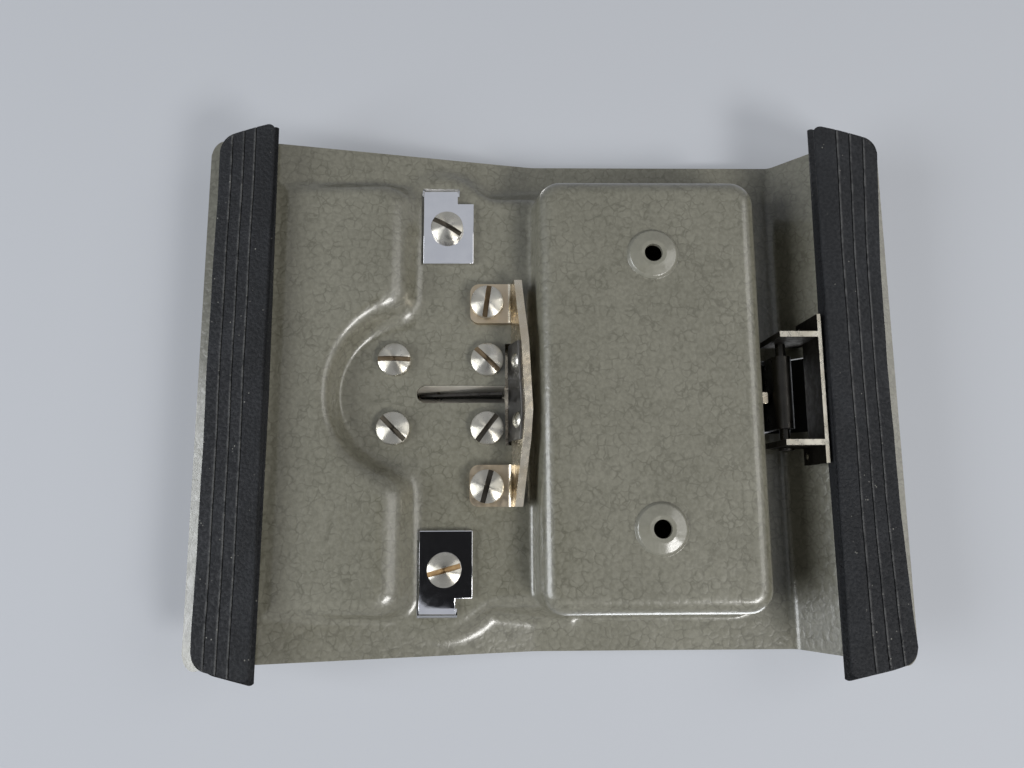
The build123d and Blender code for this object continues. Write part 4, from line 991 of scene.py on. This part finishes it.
knob_height = 8.0
knob_side = smooth([(2.85, 0.25), (2.5, 1.2), (2.4, 2.4), (2.95, 3.7), (4.1, 4.75), (4.4, 5.5), (4.3, 6.4),
                    (3.7, 7.2), (2.2, 7.75), (0.7, 7.97)])
for node in ("left_clamp_knob", "right_clamp_knob", "cutter_knob", "lid_knob"):
    low, high = (np.array(corner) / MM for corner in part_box(node))
    stud = high[2] - low[2] - knob_height
    foot_profile = [(0, -stud), (1.1, -stud), (1.2, -stud + 0.1), (1.2, 0), (2.75, 0), (3.0, 0.08)]
    profile = np.vstack([foot_profile, knob_side, [(0, knob_height)]])
    place = ((low[0] + high[0]) / 2, (low[1] + high[1]) / 2, high[2] - knob_height)
    mesh = new_mesh("knob", turned(profile) + np.array(place), grid_faces(64, len(profile), round_rows=True))
    outwards(mesh)
    show(mesh, black_moulding, [node])

# %% [markdown]
# ## Table and floor
# The picture was taken from above, with the splicer upside down on a pale table, so here the table
# is a sheet over the lid that is seen only from below, and the floor is a sheet under the feet that
# is seen only from above. The knobs reach through the table, where the casing hides them, so that a
# low camera looks over it. A smaller dark sheet lies on the table, close under the casing, where
# little light comes. All three are there for the camera alone, and let lamps and reflections
# through, so that each side of the object is lit as if the other sheets weren't there. Away from
# the object they fade into the backdrop.

# %% Table and floor
table_colour = (0.50, 0.52, 0.56, 1)
shadow_colour = (0.012, 0.012, 0.012, 1)
fade_from, fade_to = 180, 420                     # distances from the middle


def stage_material(name):
    """A material with no nodes yet, for a piece of the stage."""
    material = bpy.data.materials.new(name)
    nodes = Nodes(material)
    nodes.tree.nodes.clear()
    return material, nodes


def one_sided(name, height, faces_down, half_x=3000.0, half_y=3000.0, colour=table_colour, glow=0.0):
    """A rectangle that only the camera sees, from one side. Its glow softens the shadows on it."""
    corners = np.column_stack([rectangle(-half_x, -half_y, half_x, half_y), np.full(4, height)])
    mesh = new_mesh(name, corners[::-1] if faces_down else corners, [(0, 1, 2, 3)])
    material, nodes = stage_material(name)
    camera_ray = nodes.node("ShaderNodeLightPath", {}, {}, "Is Camera Ray")
    backfacing = nodes.node("ShaderNodeNewGeometry", {}, {}, "Backfacing")
    seen = nodes.node("ShaderNodeMath", {"operation": "SUBTRACT", "use_clamp": True},
                      {0: camera_ray, 1: backfacing})
    place = nodes.node("ShaderNodeTexCoord", {}, {}, "Object")
    distance = nodes.node("ShaderNodeVectorMath", {"operation": "LENGTH"}, {0: place}, "Value")
    shown = seen * distance.step(fade_from * MM, fade_to * MM, 1.0, 0.0)
    lit_colour = tuple((1 - glow) * c for c in colour[:3]) + (1,)
    diffuse = nodes.node("ShaderNodeBsdfDiffuse", {}, {"Color": lit_colour})
    light = nodes.node("ShaderNodeEmission", {}, {"Color": colour, "Strength": glow})
    sheet_shader = nodes.node("ShaderNodeAddShader", {}, {0: diffuse, 1: light})
    clear = nodes.node("ShaderNodeBsdfTransparent", {}, {})
    mixed = nodes.node("ShaderNodeMixShader", {}, {0: shown, 1: clear, 2: sheet_shader})
    nodes.node("ShaderNodeOutputMaterial", {}, {0: mixed})
    mesh.materials.append(material)
    plane = bpy.data.objects.new(name, mesh)
    bpy.context.scene.collection.objects.link(plane)
    plane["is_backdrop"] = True


table_height, floor_height = 18.0, -0.02
one_sided("floor", floor_height, False, glow=0.45)
one_sided("table", table_height, True, glow=0.4)
one_sided("deep_shadow", table_height - 0.01, True, 44.0, 60.0, shadow_colour)


# %% [markdown]
# Whoever takes a picture from close above shades the object, and shows in its mirrors as a dark
# patch. A dark disc beside the camera does the same. It can't be seen by the camera itself.

# %% Shade beside the camera
def shade(place, radius):
    """A dark disc that takes light and shows in reflections, but isn't seen."""
    outline = circle(place[0], place[1], radius)
    count = len(outline)
    mesh = new_mesh("shade", np.column_stack([outline, np.full(count, place[2])]), [tuple(range(count))])
    material, nodes = stage_material("shade")
    dark = nodes.node("ShaderNodeBsdfDiffuse", {}, {"Color": (0.03, 0.03, 0.032, 1)})
    nodes.node("ShaderNodeOutputMaterial", {}, {0: dark})
    mesh.materials.append(material)
    disc = bpy.data.objects.new("shade", mesh)
    disc.visible_camera = False
    bpy.context.scene.collection.objects.link(disc)
    disc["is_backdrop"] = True


shade((-37, -20, -165), 42)


# %% [markdown]
# ## Lamps
# The underside is lit as in the picture: a broad soft light from picture left, a smaller one from
# the lower right, and a faint one from the right. Two more stand above, for pictures of the top.

# %% Lamps
def lamp(name, place, aim, size, watts, colour=(1, 1, 1)):
    """A rectangular soft box at a place, turned towards a point."""
    data = bpy.data.lights.new(name, "AREA")
    data.shape = "RECTANGLE"
    data.size, data.size_y = size[0] * MM, size[1] * MM
    data.energy = watts
    data.color = colour
    made = bpy.data.objects.new(name, data)
    place, aim = Vector(place) * MM, Vector(aim) * MM
    turn = (aim - place).to_track_quat("-Z", "Y").to_matrix().to_4x4()
    made.matrix_world = Matrix.Translation(place) @ turn
    bpy.context.scene.collection.objects.link(made)


lamp("window_below", (-330, 330, -420), (0, 0, 5), (230, 140), 2.4, (1.0, 0.99, 0.97))
lamp("left_below", (-120, -540, -330), (0, 0, 5), (420, 300), 3.3, (0.94, 0.97, 1.0))
lamp("right_below", (60, 450, -400), (0, 0, 5), (400, 300), 1.0, (1.0, 0.99, 0.96))
lamp("key_above", (350, -300, 520), (0, 0, 10), (420, 420), 1.9, (1.0, 0.98, 0.95))
lamp("fill_above", (-450, 250, 420), (0, 0, 10), (400, 300), 1.8, (0.94, 0.97, 1.0))


# %% [markdown]
# ## World
# The world adds a little even light. Where the camera looks past the floor, and in whatever
# mirrors it, the world is the table's own pale colour.

# %% World
world_light = 0.08


def soft_world():
    """Even grey light from all round, and a pale backdrop that the camera, metal and glass see."""
    world = bpy.data.worlds.new("world")
    bpy.context.scene.world = world
    nodes = Nodes(world)
    nodes.tree.nodes.clear()
    light = nodes.node("ShaderNodeBackground", {}, {0: (0.93, 0.96, 1.0, 1), 1: world_light})
    backdrop = nodes.node("ShaderNodeBackground", {}, {0: table_colour})
    direct = nodes.node("ShaderNodeLightPath", {}, {}, "Is Camera Ray")
    for ray in ("Is Glossy Ray", "Is Transmission Ray"):
        direct = direct.maths("MAXIMUM", direct, nodes.node("ShaderNodeLightPath", {}, {}, ray))
    mixed = nodes.node("ShaderNodeMixShader", {}, {0: direct, 1: light, 2: backdrop})
    nodes.node("ShaderNodeOutputWorld", {}, {0: mixed})


soft_world()

# %% Sizes
low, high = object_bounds()
print("dressed part, mm:", [round(v / MM, 1) for v in high - low])
